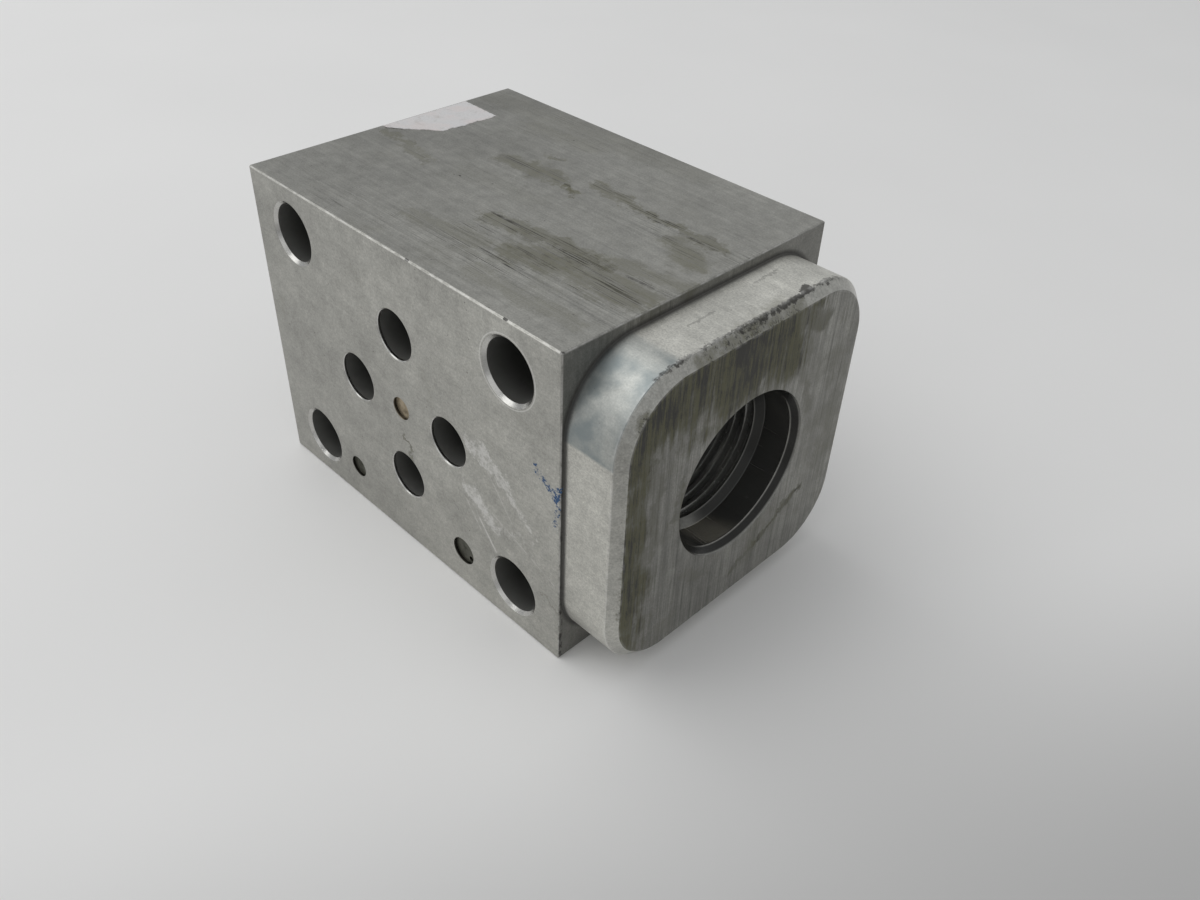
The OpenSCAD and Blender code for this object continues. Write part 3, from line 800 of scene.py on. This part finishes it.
def packed_dirt_and_shade(bench, body):
    """Black dirt with some painted shade: its mask, and the masks of the pits and of the crust, which shape
    the surface too.

    It lies in the corner round the boss and over the block's end, where it is dirt and painted shade, in the
    seam beside the boss, the scratches on the top and the pits, and in the crust and the crack along the
    boss's top front edge.
    """
    score_patch = bench.group("Grime", place=body.spot, grain=9.0, amount=0.5)["Mask"]
    scratches = bench.product(
        body.top, body.scored,
        bench.weighted_sum(0.08, (score_patch, bench.between(body.lined_patch, 0.15, 0.9))),
    )
    crust = bench.most(
        marks(bench, body.torn, BOSS_CRUST, on_boss_top), marks(bench, body.spot, EDGE_NICKS, on_top)
    )
    crust = bench.ramp(crust, 0.3, 0.75)
    torn_x = bench.parts(body.torn)[0]
    crack = bench.product(
        bench.ramp(bench.gap(torn_x, CHAMFER_X), 0.22, 0.06), body.boss,
        bench.ramp(body.z, TOP_Z - 2.8, TOP_Z - 2.2), bench.ramp(body.mottle, 0.38, 0.56),
    )
    # Dirt and painted shade in the inside corner round the boss
    corner = bench.product(
        bench.band(body.outline, (-0.5, -0.1), (1.1, 0.0)),
        bench.band(body.x, (END_X - 0.1, END_X - 0.02), (END_X + 0.7, END_X + 0.1)),
    )
    # Dirt and painted shade over the block's end face
    end_dirt_and_shade = bench.product(body.end, bench.between(body.cloud, 0.2, 0.9))
    seam = bench.product(
        bench.band(body.x, (END_X - 0.14, END_X - 0.04), (END_X + 0.5, END_X + 0.3)),
        bench.ramp(body.y, -BOSS_HALF_WIDTH + 0.35, -BOSS_HALF_WIDTH - 0.1),
        bench.ramp(body.z, AXIS_Z + 12, AXIS_Z + 10), bench.ramp(body.mottle, 0.4, 0.55),
    )
    large_pits = bench.group("Pits", place=body.spot, spacing=1.7, dot=0.15, share=0.36)["Mask"]
    small_pits = bench.group("Pits", place=body.spot, spacing=0.6, dot=0.065, share=0.34)["Mask"]
    pits = bench.product(bench.most(large_pits, bench.product(small_pits, 0.7)), bench.rest(body.hole))
    dirt = bench.strongest(
        (corner, 0.9), (end_dirt_and_shade, 0.42), (pits, 0.6), (crust, 0.85), (crack, 0.7), (seam, 0.9), (scratches,)
    )
    return dirt, pits, crust


def worn_and_highlit_edges(bench, body):
    """Bright metal: the mask of worn edges, which are partly a painted highlight, broken up, and the mask of
    the clean cuts where holes open.
    """
    front_rim = bench.product(
        bench.ramp(bench.gap(body.outline, -BOSS_CHAMFER), 0.3, 0.05),
        bench.ramp(body.x, BOSS_X - 0.3, BOSS_X - 0.1),
    )
    side_rim = bench.product(
        bench.ramp(bench.gap(body.x, CHAMFER_X), 0.3, 0.05), bench.ramp(body.outline, -0.4, -0.1)
    )
    block_rim = bench.product(bench.ramp(body.edges, 0.3, 0.7), body.block)
    # Worn edges together with a painted highlight along the rims
    rims = bench.strongest((front_rim, 0.2), (side_rim, 0.3), (block_rim, 0.42))
    patchy = bench.ramp(bench.noise(body.spot, 1.3, detail=4.0), 0.4, 0.62)
    reamed = bench.product(
        bench.band(body.depth, (0.02, 0.06), (0.5, 0.38)), body.block, bench.ramp(body.edges, 0.1, 0.0)
    )
    return bench.product(rims, patchy), reamed


def face_marks(bench, body):
    """The masks of scuffs, of the ring a screw head has pressed and of layout ink, on the mounting face."""
    scuff_grain = bench.noise(body.spot, 0.8, detail=6.0, roughness=0.75)
    scuffs = bench.ramp(bench.product(marks(bench, body.ragged, FACE_SCUFFS, on_face), scuff_grain), 0.3, 0.5)
    scratches = bench.product(
        marks(bench, body.spot, FACE_SCRATCHES, on_face), bench.ramp(body.mottle, 0.35, 0.55)
    )
    ring = bench.group(
        "Ring mark", place=body.spot, centre=on_face(*BOLT_CENTRE), axis=ALONG_Y, radius=4.4, width=0.14
    )["Mask"]
    ink_specks = bench.noise(body.spot, 0.45, detail=4.0, roughness=0.7)
    ink = bench.ramp(bench.product(marks(bench, body.torn, FACE_INK, on_face), ink_specks), 0.4, 0.5)
    return bench.product(bench.most(scuffs, scratches), body.face), bench.product(ring, body.face), ink


def hole_shade(bench, body):
    """Painted shade inside the holes: the mask of what is darkened, and its colour.

    In the boss's bore the borders of the lip stay light, the cone's lower left keeps a painted highlight and
    the thread's crests stay light over painted shade in its roots. The socket's wall has a painted pool of
    light low down, and the plain holes get painted shade that darkens from their mouths inwards.
    """
    inner_lip = BOSS_X - LIP_DEPTH
    lip = bench.most(
        bench.ramp(body.x, BOSS_X - 0.3, BOSS_X - 0.1), bench.ramp(bench.gap(body.x, inner_lip), 0.2, 0.05)
    )
    # Painted highlight: the lower left of the cone is kept light, where light would fall on it
    cone_highlight = bench.product(
        bench.ramp(body.z, 21.0, 13.0), bench.ramp(body.y, 1.0, -5.0),
        bench.band(body.x, (THREAD_X + 0.05, THREAD_X + 0.25), (SOCKET_X + 0.05, SOCKET_X - 0.1)),
    )
    # Painted light and shade: the thread's crests kept light, its roots darkened
    crest_highlight = bench.product(
        bench.ramp(body.bore, CREST_RADIUS + 0.55, CREST_RADIUS + 0.1),
        bench.ramp(body.x, THREAD_X + 0.35, THREAD_X + 0.15),
    )
    light = bench.product(bench.strongest((lip, 0.7), (cone_highlight, 0.8), (crest_highlight, 0.5)), body.in_bore)
    wall = bench.product(
        body.in_bore,
        bench.band(body.x, (SOCKET_X - 0.1, SOCKET_X + 0.1), (inner_lip + 0.05, inner_lip - 0.1)),
    )
    glow = bench.group("Mark", place=body.spot, **SOCKET_GLOW)["Mask"]
    # Painted pool of light on the socket's wall; the rest of the bore is painted near black and the plain
    # holes darker with depth
    wall_metal = bench.tint(glow, (0.19, 0.19, 0.18), (0.72, 0.68, 0.58))
    bore_metal = bench.tint(wall, (0.022, 0.022, 0.021), wall_metal)
    hole_metal = bench.tint(bench.ramp(body.depth, 0.5, 4.5), (0.42, 0.42, 0.4), (0.2, 0.2, 0.19))
    socket = bench.product(body.in_bore, bench.ramp(body.x, THREAD_X - 0.15, THREAD_X + 0.15))
    return bench.product(body.hole, bench.rest(light)), bench.tint(socket, hole_metal, bore_metal)


def pin_recess_shade(bench, body):
    """Painted shade in the recess round each small plug, below the mounting face."""
    rings = []
    for node in ("centre_plug", "left_pin", "right_pin"):
        low, high = box_mm(node)
        ring = bench.group(
            "Ring mark", place=body.spot, centre=middle_mm(node), axis=ALONG_Y, radius=(high[0] - low[0]) / 2,
            width=0.2,
        )
        rings.append(ring["Mask"])
    below = bench.band(body.y, (FACE_Y + 0.04, FACE_Y + 0.15), (FACE_Y + 6.5, FACE_Y + 6.0))
    return bench.product(bench.most(*rings), below, 0.9)


def make_body_material(settings):
    """Milled aluminium, with oil in its tool lines, worn edges partly painted as highlights, dirt and painted
    shade in corners, scuffs, painted shade in the bores and round the plugs, and painted light that differs
    from face to face.
    """
    material, bench, shader = start_material("milled_aluminium")
    body = body_places(bench)
    add_patterns(bench, body)
    oil, thick_oil = oil_masks(bench, body)
    soot_and_shade, pits, crust = packed_dirt_and_shade(bench, body)
    worn_and_highlit, reamed = worn_and_highlit_edges(bench, body)
    wear_and_highlight = bench.product(worn_and_highlit, settings.wear_and_highlight)
    scuffs, ring, ink = face_marks(bench, body)
    painted_hole_shade, hole_shade_colour = hole_shade(bench, body)
    dirt = bench.most(oil, soot_and_shade, ink)
    bench.feed(shader["Base Color"], bench.coated(
        # The metal, with painted light and shade that differs from face to face
        metal_tone_and_painted_light(bench, body, settings.aluminium),
        (bench.product(oil, settings.staining), bench.tint(thick_oil, settings.oil, settings.soot_and_shade)),
        # Black dirt, with painted shade in the corner round the boss and over the block's end
        (soot_and_shade, settings.soot_and_shade),
        (bench.product(scuffs, 0.6), settings.bare_metal_and_highlight),
        (bench.product(ring, 0.5), settings.bare_metal_and_highlight),
        # Worn edges, partly a painted highlight, and the clean cuts round the holes
        (bench.most(wear_and_highlight, bench.product(reamed, 0.4)), settings.bare_metal_and_highlight),
        (ink, settings.ink),
        # Painted shade inside the holes
        (bench.product(painted_hole_shade, 0.95), hole_shade_colour),
        # Painted shade in the recesses round the small plugs, in the dirt colour
        (pin_recess_shade(bench, body), settings.soot_and_shade),
    ))
    bench.feed(shader["Roughness"], bench.weighted_sum(
        settings.roughness,
        (bench.less(body.fine, 0.5), 0.25),
        (body.side, 0.06),
        (body.chamfer, -0.14),
        (wear_and_highlight, -0.12),
        (reamed, -0.22),
        (scuffs, 0.15),
        (body.hole, -0.12),
        (body.in_bore, -0.1),
        (dirt, 0.22),
    ))
    bench.feed(shader["Metallic"], bench.weighted_sum(1.0, (dirt, -0.75), (scuffs, -0.3), (painted_hole_shade, -0.15)))
    height = bench.weighted_sum(
        bench.product(body.fine, body.line_depth, 2.0),
        (body.scored, body.line_depth, -0.7),
        (body.speckle, 0.22),
        (pits, -2.2),
        (crust, 1.4),
        (scuffs, -0.4),
    )
    bump(bench, shader, height, 0.012)
    return material


# ---- Turned, plated and ground parts ----


def make_metal_material(name, tone, centre, axis, roughness, pitch, grime, depth):
    """A turned metal: lathe lines about an axis, cloudy tarnish, oil in its corners and a few pits."""
    material, bench, shader = start_material(name)
    spot = bench.place()
    lines = bench.group("Turned lines", place=spot, centre=centre, axis=axis, pitch=pitch)["Lines"]
    cloud = bench.noise(spot, 2.2, detail=4.0, roughness=0.6)
    dirt = bench.group("Grime", place=spot, grain=1.6, amount=grime)["Mask"]
    pits = bench.group("Pits", place=spot, spacing=0.9, dot=0.07, share=0.3)["Mask"]
    light = bench.product(bench.wavering(lines, 0.5), bench.wavering(cloud, 0.4))
    oily = tuple(part * share for part, share in zip(tone, THROUGH_OIL))
    bench.feed(shader["Base Color"], bench.coated(
        bench.shaded(tone, light), (bench.product(dirt, 0.75), oily), (bench.product(pits, 0.7), PIT_COLOUR)
    ))
    bench.feed(shader["Roughness"], bench.weighted_sum(roughness, (bench.less(lines, 0.5), 0.2), (dirt, 0.2)))
    bench.feed(shader["Metallic"], bench.weighted_sum(1.0, (dirt, -0.35)))
    bump(bench, shader, bench.weighted_sum(lines, (pits, -1.5)), depth)
    return material


def make_rubber_material(settings):
    """Black rubber: a soft satin with oily patches and a moulding haze."""
    material, bench, shader = start_material("seal_rubber")
    spot = bench.place()
    haze = bench.noise(spot, 0.5, detail=4.0, roughness=0.65)
    wet = bench.group("Grime", place=spot, grain=2.0, amount=0.5)["Mask"]
    bench.feed(shader["Base Color"], bench.shaded(settings.rubber, bench.between(haze, 0.6, 1.6)))
    bench.feed(shader["Roughness"], bench.between(wet, 0.55, 0.28))
    bump(bench, shader, haze, 0.008)
    return material


def make_spring_material(settings):
    """Drawn spring wire: dark oxide rubbed bright on the outside of each coil."""
    material, bench, shader = start_material("spring_wire")
    spot = bench.place()
    mottle = bench.noise(spot, 0.35, detail=4.0, roughness=0.6)
    low, high = box_mm("return_spring")
    outer = (high[1] - low[1]) / 2
    outside = bench.ramp(axis_distance(bench, spot), outer - 0.12, outer - 0.02)
    rubbed = bench.product(outside, bench.ramp(mottle, 0.35, 0.6))
    oxide = bench.shaded(settings.ring, bench.between(mottle, 0.7, 1.3))
    bench.feed(shader["Base Color"], bench.tint(rubbed, oxide, (0.5, 0.5, 0.5)))
    bench.feed(shader["Roughness"], bench.between(rubbed, 0.42, 0.28))
    bench.feed(shader["Metallic"], 1.0)
    bump(bench, shader, mottle, 0.006)
    return material


def make_paper_material(settings):
    """Label paper with its print torn away: fibres, a thin glue haze and brown at the edges."""
    material, bench, shader = start_material("label_paper")
    spot = bench.place()
    fibres = bench.noise(bench.vector("MULTIPLY", spot, (1.0, 2.2, 1.0)), 0.35, detail=5.0, roughness=0.7)
    blotch = bench.noise(spot, 2.4, detail=3.0)
    paper = bench.tint(bench.ramp(blotch, 0.35, 0.65), settings.paper, GLUE_HAZE)
    dirt = bench.group("Grime", place=spot, grain=1.2, amount=0.2)["Mask"]
    shade = bench.shaded(paper, bench.between(fibres, 0.78, 1.2))
    bench.feed(shader["Base Color"], bench.tint(bench.product(dirt, 0.35), shade, BROWN_DIRT))
    bench.feed(shader["Roughness"], bench.between(fibres, 0.7, 0.95))
    bump(bench, shader, fibres, 0.02)
    return material


# ---- New pieces ----


def grid_faces(rows, columns, wrap):
    """Quads that join a grid of points row to row. With wrap, the last column joins the first."""
    row, column = np.meshgrid(np.arange(rows - 1), np.arange(columns - (0 if wrap else 1)), indexing="ij")
    following = (column + 1) % columns
    corners = [row * columns + column, (row + 1) * columns + column,
               (row + 1) * columns + following, row * columns + following]
    return np.stack(corners, axis=-1).reshape(-1, 4)


def make_piece(name, points, faces, material, body):
    """A smooth shaded object at the origin, from points in metres, riding on a body."""
    mesh = bpy.data.meshes.new(name)
    mesh.from_pydata(points, [], faces.tolist())
    mesh.polygons.foreach_set("use_smooth", np.ones(len(mesh.polygons), bool))
    mesh.materials.append(material)
    mesh.update()
    piece = bpy.data.objects.new(name, mesh)
    bpy.context.scene.collection.objects.link(piece)
    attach(piece, body)
    return piece


RINGS_PER_TURN = 72
WIRE_SIDES = 20


def spring_points(low, high, wire, coils):
    """Points of a coil spring, ring after ring along its wire, in metres.

    The wire's middle runs round the axis at a fixed distance and climbs in X, slowly over the closed turn at
    each end and evenly over the working coils. Each ring is a circle about it that shrinks to a point at the
    two ends of the wire, as a half ball does.
    """
    radius = wire / 2
    coil_radius = (high[1] - low[1]) / 2 - radius
    turns = coils + 2
    rings = RINGS_PER_TURN * turns
    turn = np.linspace(0, turns, rings)[:, None]
    around = np.linspace(0, 2 * np.pi, WIRE_SIDES, endpoint=False)[None, :]
    closed = wire * 1.02
    live = (high[0] - low[0] - wire - 2 * closed) / coils
    climb = (
        np.minimum(turn, 1) * closed
        + np.clip(turn - 1, 0, coils) * live
        + np.maximum(turn - 1 - coils, 0) * closed
    )
    wire_run = turn * 2 * np.pi * coil_radius
    whole = turns * 2 * np.pi * coil_radius
    from_end = np.minimum(wire_run, whole - wire_run)
    cap = np.clip(1 - from_end / radius, 0, 1)
    ring = radius * np.sqrt(np.maximum(1 - cap * cap, 1e-6))
    out = coil_radius + ring * np.cos(around)
    angle = turn * 2 * np.pi
    x = low[0] + radius + climb + ring * np.sin(around)
    y = out * np.sin(angle)
    z = AXIS_Z * MM + out * np.cos(angle)
    return np.stack([x, y, z], axis=-1).reshape(-1, 3), rings


def close_wire_ends(mesh, rings):
    """Closes the two ends of a wire with one face each."""
    work = bmesh.new()
    work.from_mesh(mesh)
    work.verts.ensure_lookup_table()
    last = (rings - 1) * WIRE_SIDES
    work.faces.new([work.verts[side] for side in range(WIRE_SIDES)])
    work.faces.new([work.verts[last + side] for side in reversed(range(WIRE_SIDES))])
    bmesh.ops.recalc_face_normals(work, faces=work.faces)
    work.to_mesh(mesh)
    work.free()


# The label's tear: how far along its side each point is, and how much of its width is left there
TEAR_ALONG = (0, 0.06, 0.16, 0.28, 0.36, 0.5, 0.66, 1.0)
TEAR_REACH = (0.10, 0.26, 0.52, 0.72, 0.93, 0.95, 0.97, 1.0)
# The waves along the tear, each with how often it swings and where it starts
TEAR_WAVES = ((23, 0.4), (61, 1.9), (127, 0.8), (241, 2.6))
LABEL_ROWS = 150
LABEL_COLUMNS = 90


def label_points(low, high, ragged, lift):
    """Points of a torn sheet lying on the top face, in metres: a top grid and the same grid below it.

    Across, the sheet runs from the block's edge to a torn edge, whose distance follows the tear's outline
    plus a few waves. Along, it runs between two nearly straight sides. It lifts a little towards the tear.
    """
    along = np.linspace(0, 1, LABEL_ROWS)[:, None]
    across = np.linspace(0, 1, LABEL_COLUMNS)[None, :]
    reach = np.interp(along, TEAR_ALONG, TEAR_REACH)
    waves = sum(np.sin(along * pitch + phase) / (3 + 0.06 * pitch) for pitch, phase in TEAR_WAVES)
    width = (high[0] - low[0] - ragged * 1.2) * reach + ragged * waves
    least_width = 0.0004
    x = low[0] + across * np.maximum(width, least_width)
    end_waves = 0.25 * np.sin(across * 37 + 1) + 0.18 * np.sin(across * 83 + 2)
    near = low[1] + ragged * (0.5 + end_waves) * 0.6
    far = high[1] - ragged * (0.5 - end_waves) * 0.3
    slant = 0.0003
    y = near + (far - near) * along - slant * (x - low[0]) / (high[0] - low[0]) * along
    ripple = (1 + np.sin(x / 0.0011) * np.sin(y / 0.0014)) / 2
    thickness = (high[2] - low[2] - lift) * (0.45 + 0.35 * ripple)
    top = low[2] + thickness + lift * across ** 6
    from_side = np.minimum(across, 1 - across) * LABEL_COLUMNS
    from_end = np.minimum(along, 1 - along) * LABEL_ROWS
    top = low[2] + (top - low[2]) * np.clip(np.minimum(from_side, from_end), 0.12, 1)
    upper = np.stack(np.broadcast_arrays(x, y, top), axis=-1).reshape(-1, 3)
    lower = np.stack(np.broadcast_arrays(x, y, low[2]), axis=-1).reshape(-1, 3)
    return np.concatenate([upper, lower])


def sheet_faces(rows, columns):
    """Quads of a closed sheet: the top grid, the bottom grid turned over, and a rim that joins them."""
    top = grid_faces(rows, columns, wrap=False)
    count = rows * columns
    bottom = top[:, ::-1] + count
    border = np.concatenate([
        np.arange(columns - 1),
        np.arange(columns - 1, count - 1, columns),
        np.arange(count - 1, count - columns, -1),
        np.arange(count - columns, 0, -columns),
    ])
    following = np.roll(border, -1)
    rim = np.stack([border, following, following + count, border + count], axis=-1)
    return np.concatenate([top, bottom, rim])


# ---- Operators ----


class VALVE_OT_finish_body(bpy.types.Operator):
    """Give the body its milled, stained aluminium"""

    bl_idname = "valve.finish_body"
    bl_label = "Body"

    def execute(self, context):
        dress("valve_body", make_body_material(context.scene.valve_body))
        return {"FINISHED"}


class VALVE_OT_finish_sleeve(bpy.types.Operator):
    """Give the sleeve, the spool and what holds them in their ground, turned and plated metals"""

    bl_idname = "valve.finish_sleeve"
    bl_label = "Sleeve and spool"

    def execute(self, context):
        metal = context.scene.valve_metal
        for nodes, name, tone, roughness, pitch, grime, depth in (
            (["spool_sleeve"], "hardened_steel", metal.sleeve, 0.32, 0.12, 0.3, 0.006),
            (["spool"], "ground_steel", metal.spool, 0.16, 0.05, 0.15, 0.002),
            (["stop_washer", "spring_shim"], "plain_steel", metal.washer, 0.38, 0.14, 0.3, 0.006),
            (["retaining_ring"], "spring_steel", metal.ring, 0.36, 0.3, 0.35, 0.006),
            (["spring_seat"], "seat_brass", metal.seat, 0.3, 0.12, 0.25, 0.006),
            (["end_plug"], "zinc_plated_steel", metal.plug, 0.34, 0.16, 0.3, 0.006),
        ):
            finish = make_metal_material(name, tone, SPOOL_CENTRE, ALONG_X, roughness, pitch, grime, depth)
            for node in nodes:
                dress(node, finish)
        return {"FINISHED"}


class VALVE_OT_finish_plugs(bpy.types.Operator):
    """Give the gallery's plug, the brass plug and the two pins their finishes"""

    bl_idname = "valve.finish_plugs"
    bl_label = "Small plugs and pins"

    def execute(self, context):
        metal = context.scene.valve_metal
        for node, name, tone, axis, roughness, grime in (
            ("gallery_plug", "black_oxide", metal.gallery, ALONG_X, 0.42, 0.3),
            ("centre_plug", "tarnished_brass", metal.centre, ALONG_Y, 0.42, 0.35),
            ("left_pin", "left_pin_steel", metal.pin, ALONG_Y, 0.5, 0.45),
            ("right_pin", "right_pin_steel", metal.pin, ALONG_Y, 0.45, 0.3),
        ):
            dress(node, make_metal_material(name, tone, middle_mm(node), axis, roughness, 0.13, grime, 0.01))
        return {"FINISHED"}


class VALVE_OT_finish_seals(bpy.types.Operator):
    """Give the six O-rings their rubber"""

    bl_idname = "valve.finish_seals"
    bl_label = "Seals"

    def execute(self, context):
        rubber = make_rubber_material(context.scene.valve_metal)
        for node in sorted(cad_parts):
            if "o_ring" in node:
                dress(node, rubber)
        return {"FINISHED"}


class VALVE_OT_wind_spring(bpy.types.Operator):
    """Wind the return spring from round wire"""

    bl_idname = "valve.wind_spring"
    bl_label = "Return spring"

    def execute(self, context):
        settings = context.scene.valve_spring
        low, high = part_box("return_spring")
        points, rings = spring_points(low, high, settings.wire, settings.coils)
        faces = grid_faces(rings, WIRE_SIDES, wrap=True)
        material = make_spring_material(context.scene.valve_metal)
        spring = make_piece("wound_spring", points, faces, material, "housing")
        close_wire_ends(spring.data, rings)
        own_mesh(spring)
        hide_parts("return_spring")
        return {"FINISHED"}


class VALVE_OT_lay_label(bpy.types.Operator):
    """Lay what is left of the paper label on the top face"""

    bl_idname = "valve.lay_label"
    bl_label = "Label remnant"

    def execute(self, context):
        settings = context.scene.valve_label
        low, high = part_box("label_remnant")
        points = label_points(low, high, settings.ragged, settings.curl)
        faces = sheet_faces(LABEL_ROWS, LABEL_COLUMNS)
        paper = make_paper_material(settings)
        label = make_piece("torn_label", points, faces, paper, "housing")
        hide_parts("label_remnant")
        return {"FINISHED"}


class VALVE_OT_set_stage(bpy.types.Operator):
    """Set out the pale bench, the soft lamps and the camera"""

    bl_idname = "valve.set_stage"
    bl_label = "Stage"

    def execute(self, context):
        settings = context.scene.valve_stage
        context.scene.view_settings.view_transform = "Standard"
        lay_bench(settings)
        light_room(context.scene, settings)
        hang_lamp("key_lamp", (-0.45, -0.28, 0.75), 1.0, settings.key_power)
        hang_lamp("fill_lamp", (0.2, -0.6, 0.4), 0.5, settings.fill_power)
        set_camera(context.scene, settings)
        return {"FINISHED"}


def lay_bench(settings):
    """A wide flat bench top under the part, in a plain pale paint, with painted shade that darkens it towards
    the near right.
    """
    half = 3.0
    points = [(-half, -half, 0), (half, -half, 0), (half, half, 0), (-half, half, 0)]
    mesh = bpy.data.meshes.new("bench_top")
    mesh.from_pydata(points, [], [(0, 1, 2, 3)])
    material, bench, shader = start_material("bench_paint")
    spot = bench.place()
    cloud = bench.noise(spot, 60.0, detail=2.0)
    x, y, _ = bench.parts(spot)
    # Painted shade: the bench darkens towards the near right
    near_right_shade = bench.ramp(bench.less(x, bench.product(y, 0.5)), 40.0, 100.0)
    light = bench.product(bench.between(cloud, 0.97, 1.03), bench.between(near_right_shade, 1.05, 0.6))
    bench.feed(shader["Base Color"], bench.shaded(settings.bench, light))
    bench.feed(shader["Roughness"], 0.7)
    mesh.materials.append(material)
    floor = bpy.data.objects.new("bench_top", mesh)
    bpy.context.scene.collection.objects.link(floor)


def light_room(scene, settings):
    """Even light from all round."""
    world = bpy.data.worlds.new("room")
    world.use_nodes = True
    background = world.node_tree.nodes["Background"]
    background.inputs["Color"].default_value = (0.97, 0.985, 1.0, 1.0)
    background.inputs["Strength"].default_value = settings.sky
    scene.world = world


def hang_lamp(name, place, width, power):
    """A large square lamp that looks at the part."""
    lamp = bpy.data.lights.new(name, "AREA")
    lamp.size = width
    lamp.energy = power
    holder = bpy.data.objects.new(name, lamp)
    holder.location = place
    holder.rotation_euler = (-Vector(place)).to_track_quat("-Z", "Y").to_euler()
    bpy.context.scene.collection.objects.link(holder)


def set_camera(scene, settings):
    """A camera that looks along its aim, rolled by its lean."""
    camera = bpy.data.cameras.new("camera")
    camera.sensor_width = 36
    camera.lens = settings.lens
    camera.clip_start = 0.005
    holder = bpy.data.objects.new("camera", camera)
    backward = -Vector(settings.aim).normalized()
    right = Vector((0, 0, 1)).cross(backward).normalized()
    up = backward.cross(right)
    turn = Matrix((right, up, backward)).transposed()
    roll = Matrix.Rotation(settings.lean, 3, backward)
    holder.matrix_world = Matrix.Translation(Vector(settings.eye)) @ (roll @ turn).to_4x4()
    scene.collection.objects.link(holder)
    scene.camera = holder


class VALVE_PT_sidebar(bpy.types.Panel):
    """Lists what dresses the valve block"""

    bl_idname = "VALVE_PT_sidebar"
    bl_label = "Valve block"
    bl_space_type = "VIEW_3D"
    bl_region_type = "UI"
    bl_category = "Valve"

    def draw(self, context):
        for operator in OPERATORS:
            self.layout.operator(operator.bl_idname)
        for name in SETTINGS:
            column = self.layout.column(heading=name)
            group = getattr(context.scene, name)
            for key in group.__annotations__:
                column.prop(group, key)


SETTINGS = {
    "valve_body": ValveBodySettings,
    "valve_metal": ValveMetalSettings,
    "valve_spring": ValveSpringSettings,
    "valve_label": ValveLabelSettings,
    "valve_stage": ValveStageSettings,
}
OPERATORS = (
    VALVE_OT_set_stage,
    VALVE_OT_finish_body,
    VALVE_OT_finish_sleeve,
    VALVE_OT_finish_plugs,
    VALVE_OT_finish_seals,
    VALVE_OT_wind_spring,
    VALVE_OT_lay_label,
)


def register():
    """Adds the settings, the operators and the panel."""
    for kind in (*SETTINGS.values(), *OPERATORS, VALVE_PT_sidebar):
        bpy.utils.register_class(kind)
    for name, kind in SETTINGS.items():
        setattr(bpy.types.Scene, name, bpy.props.PointerProperty(type=kind))


def unregister():
    """Takes away what register added."""
    for name in SETTINGS:
        delattr(bpy.types.Scene, name)
    for kind in (VALVE_PT_sidebar, *reversed(OPERATORS), *reversed(SETTINGS.values())):
        bpy.utils.unregister_class(kind)


def main():
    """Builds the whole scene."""
    register()
    for make_group in GROUP_MAKERS:
        make_group()
    for operator in OPERATORS:
        category, name = operator.bl_idname.split(".")
        getattr(getattr(bpy.ops, category), name)()
    bpy.context.view_layer.update()


if __name__ == "__main__":
    main()
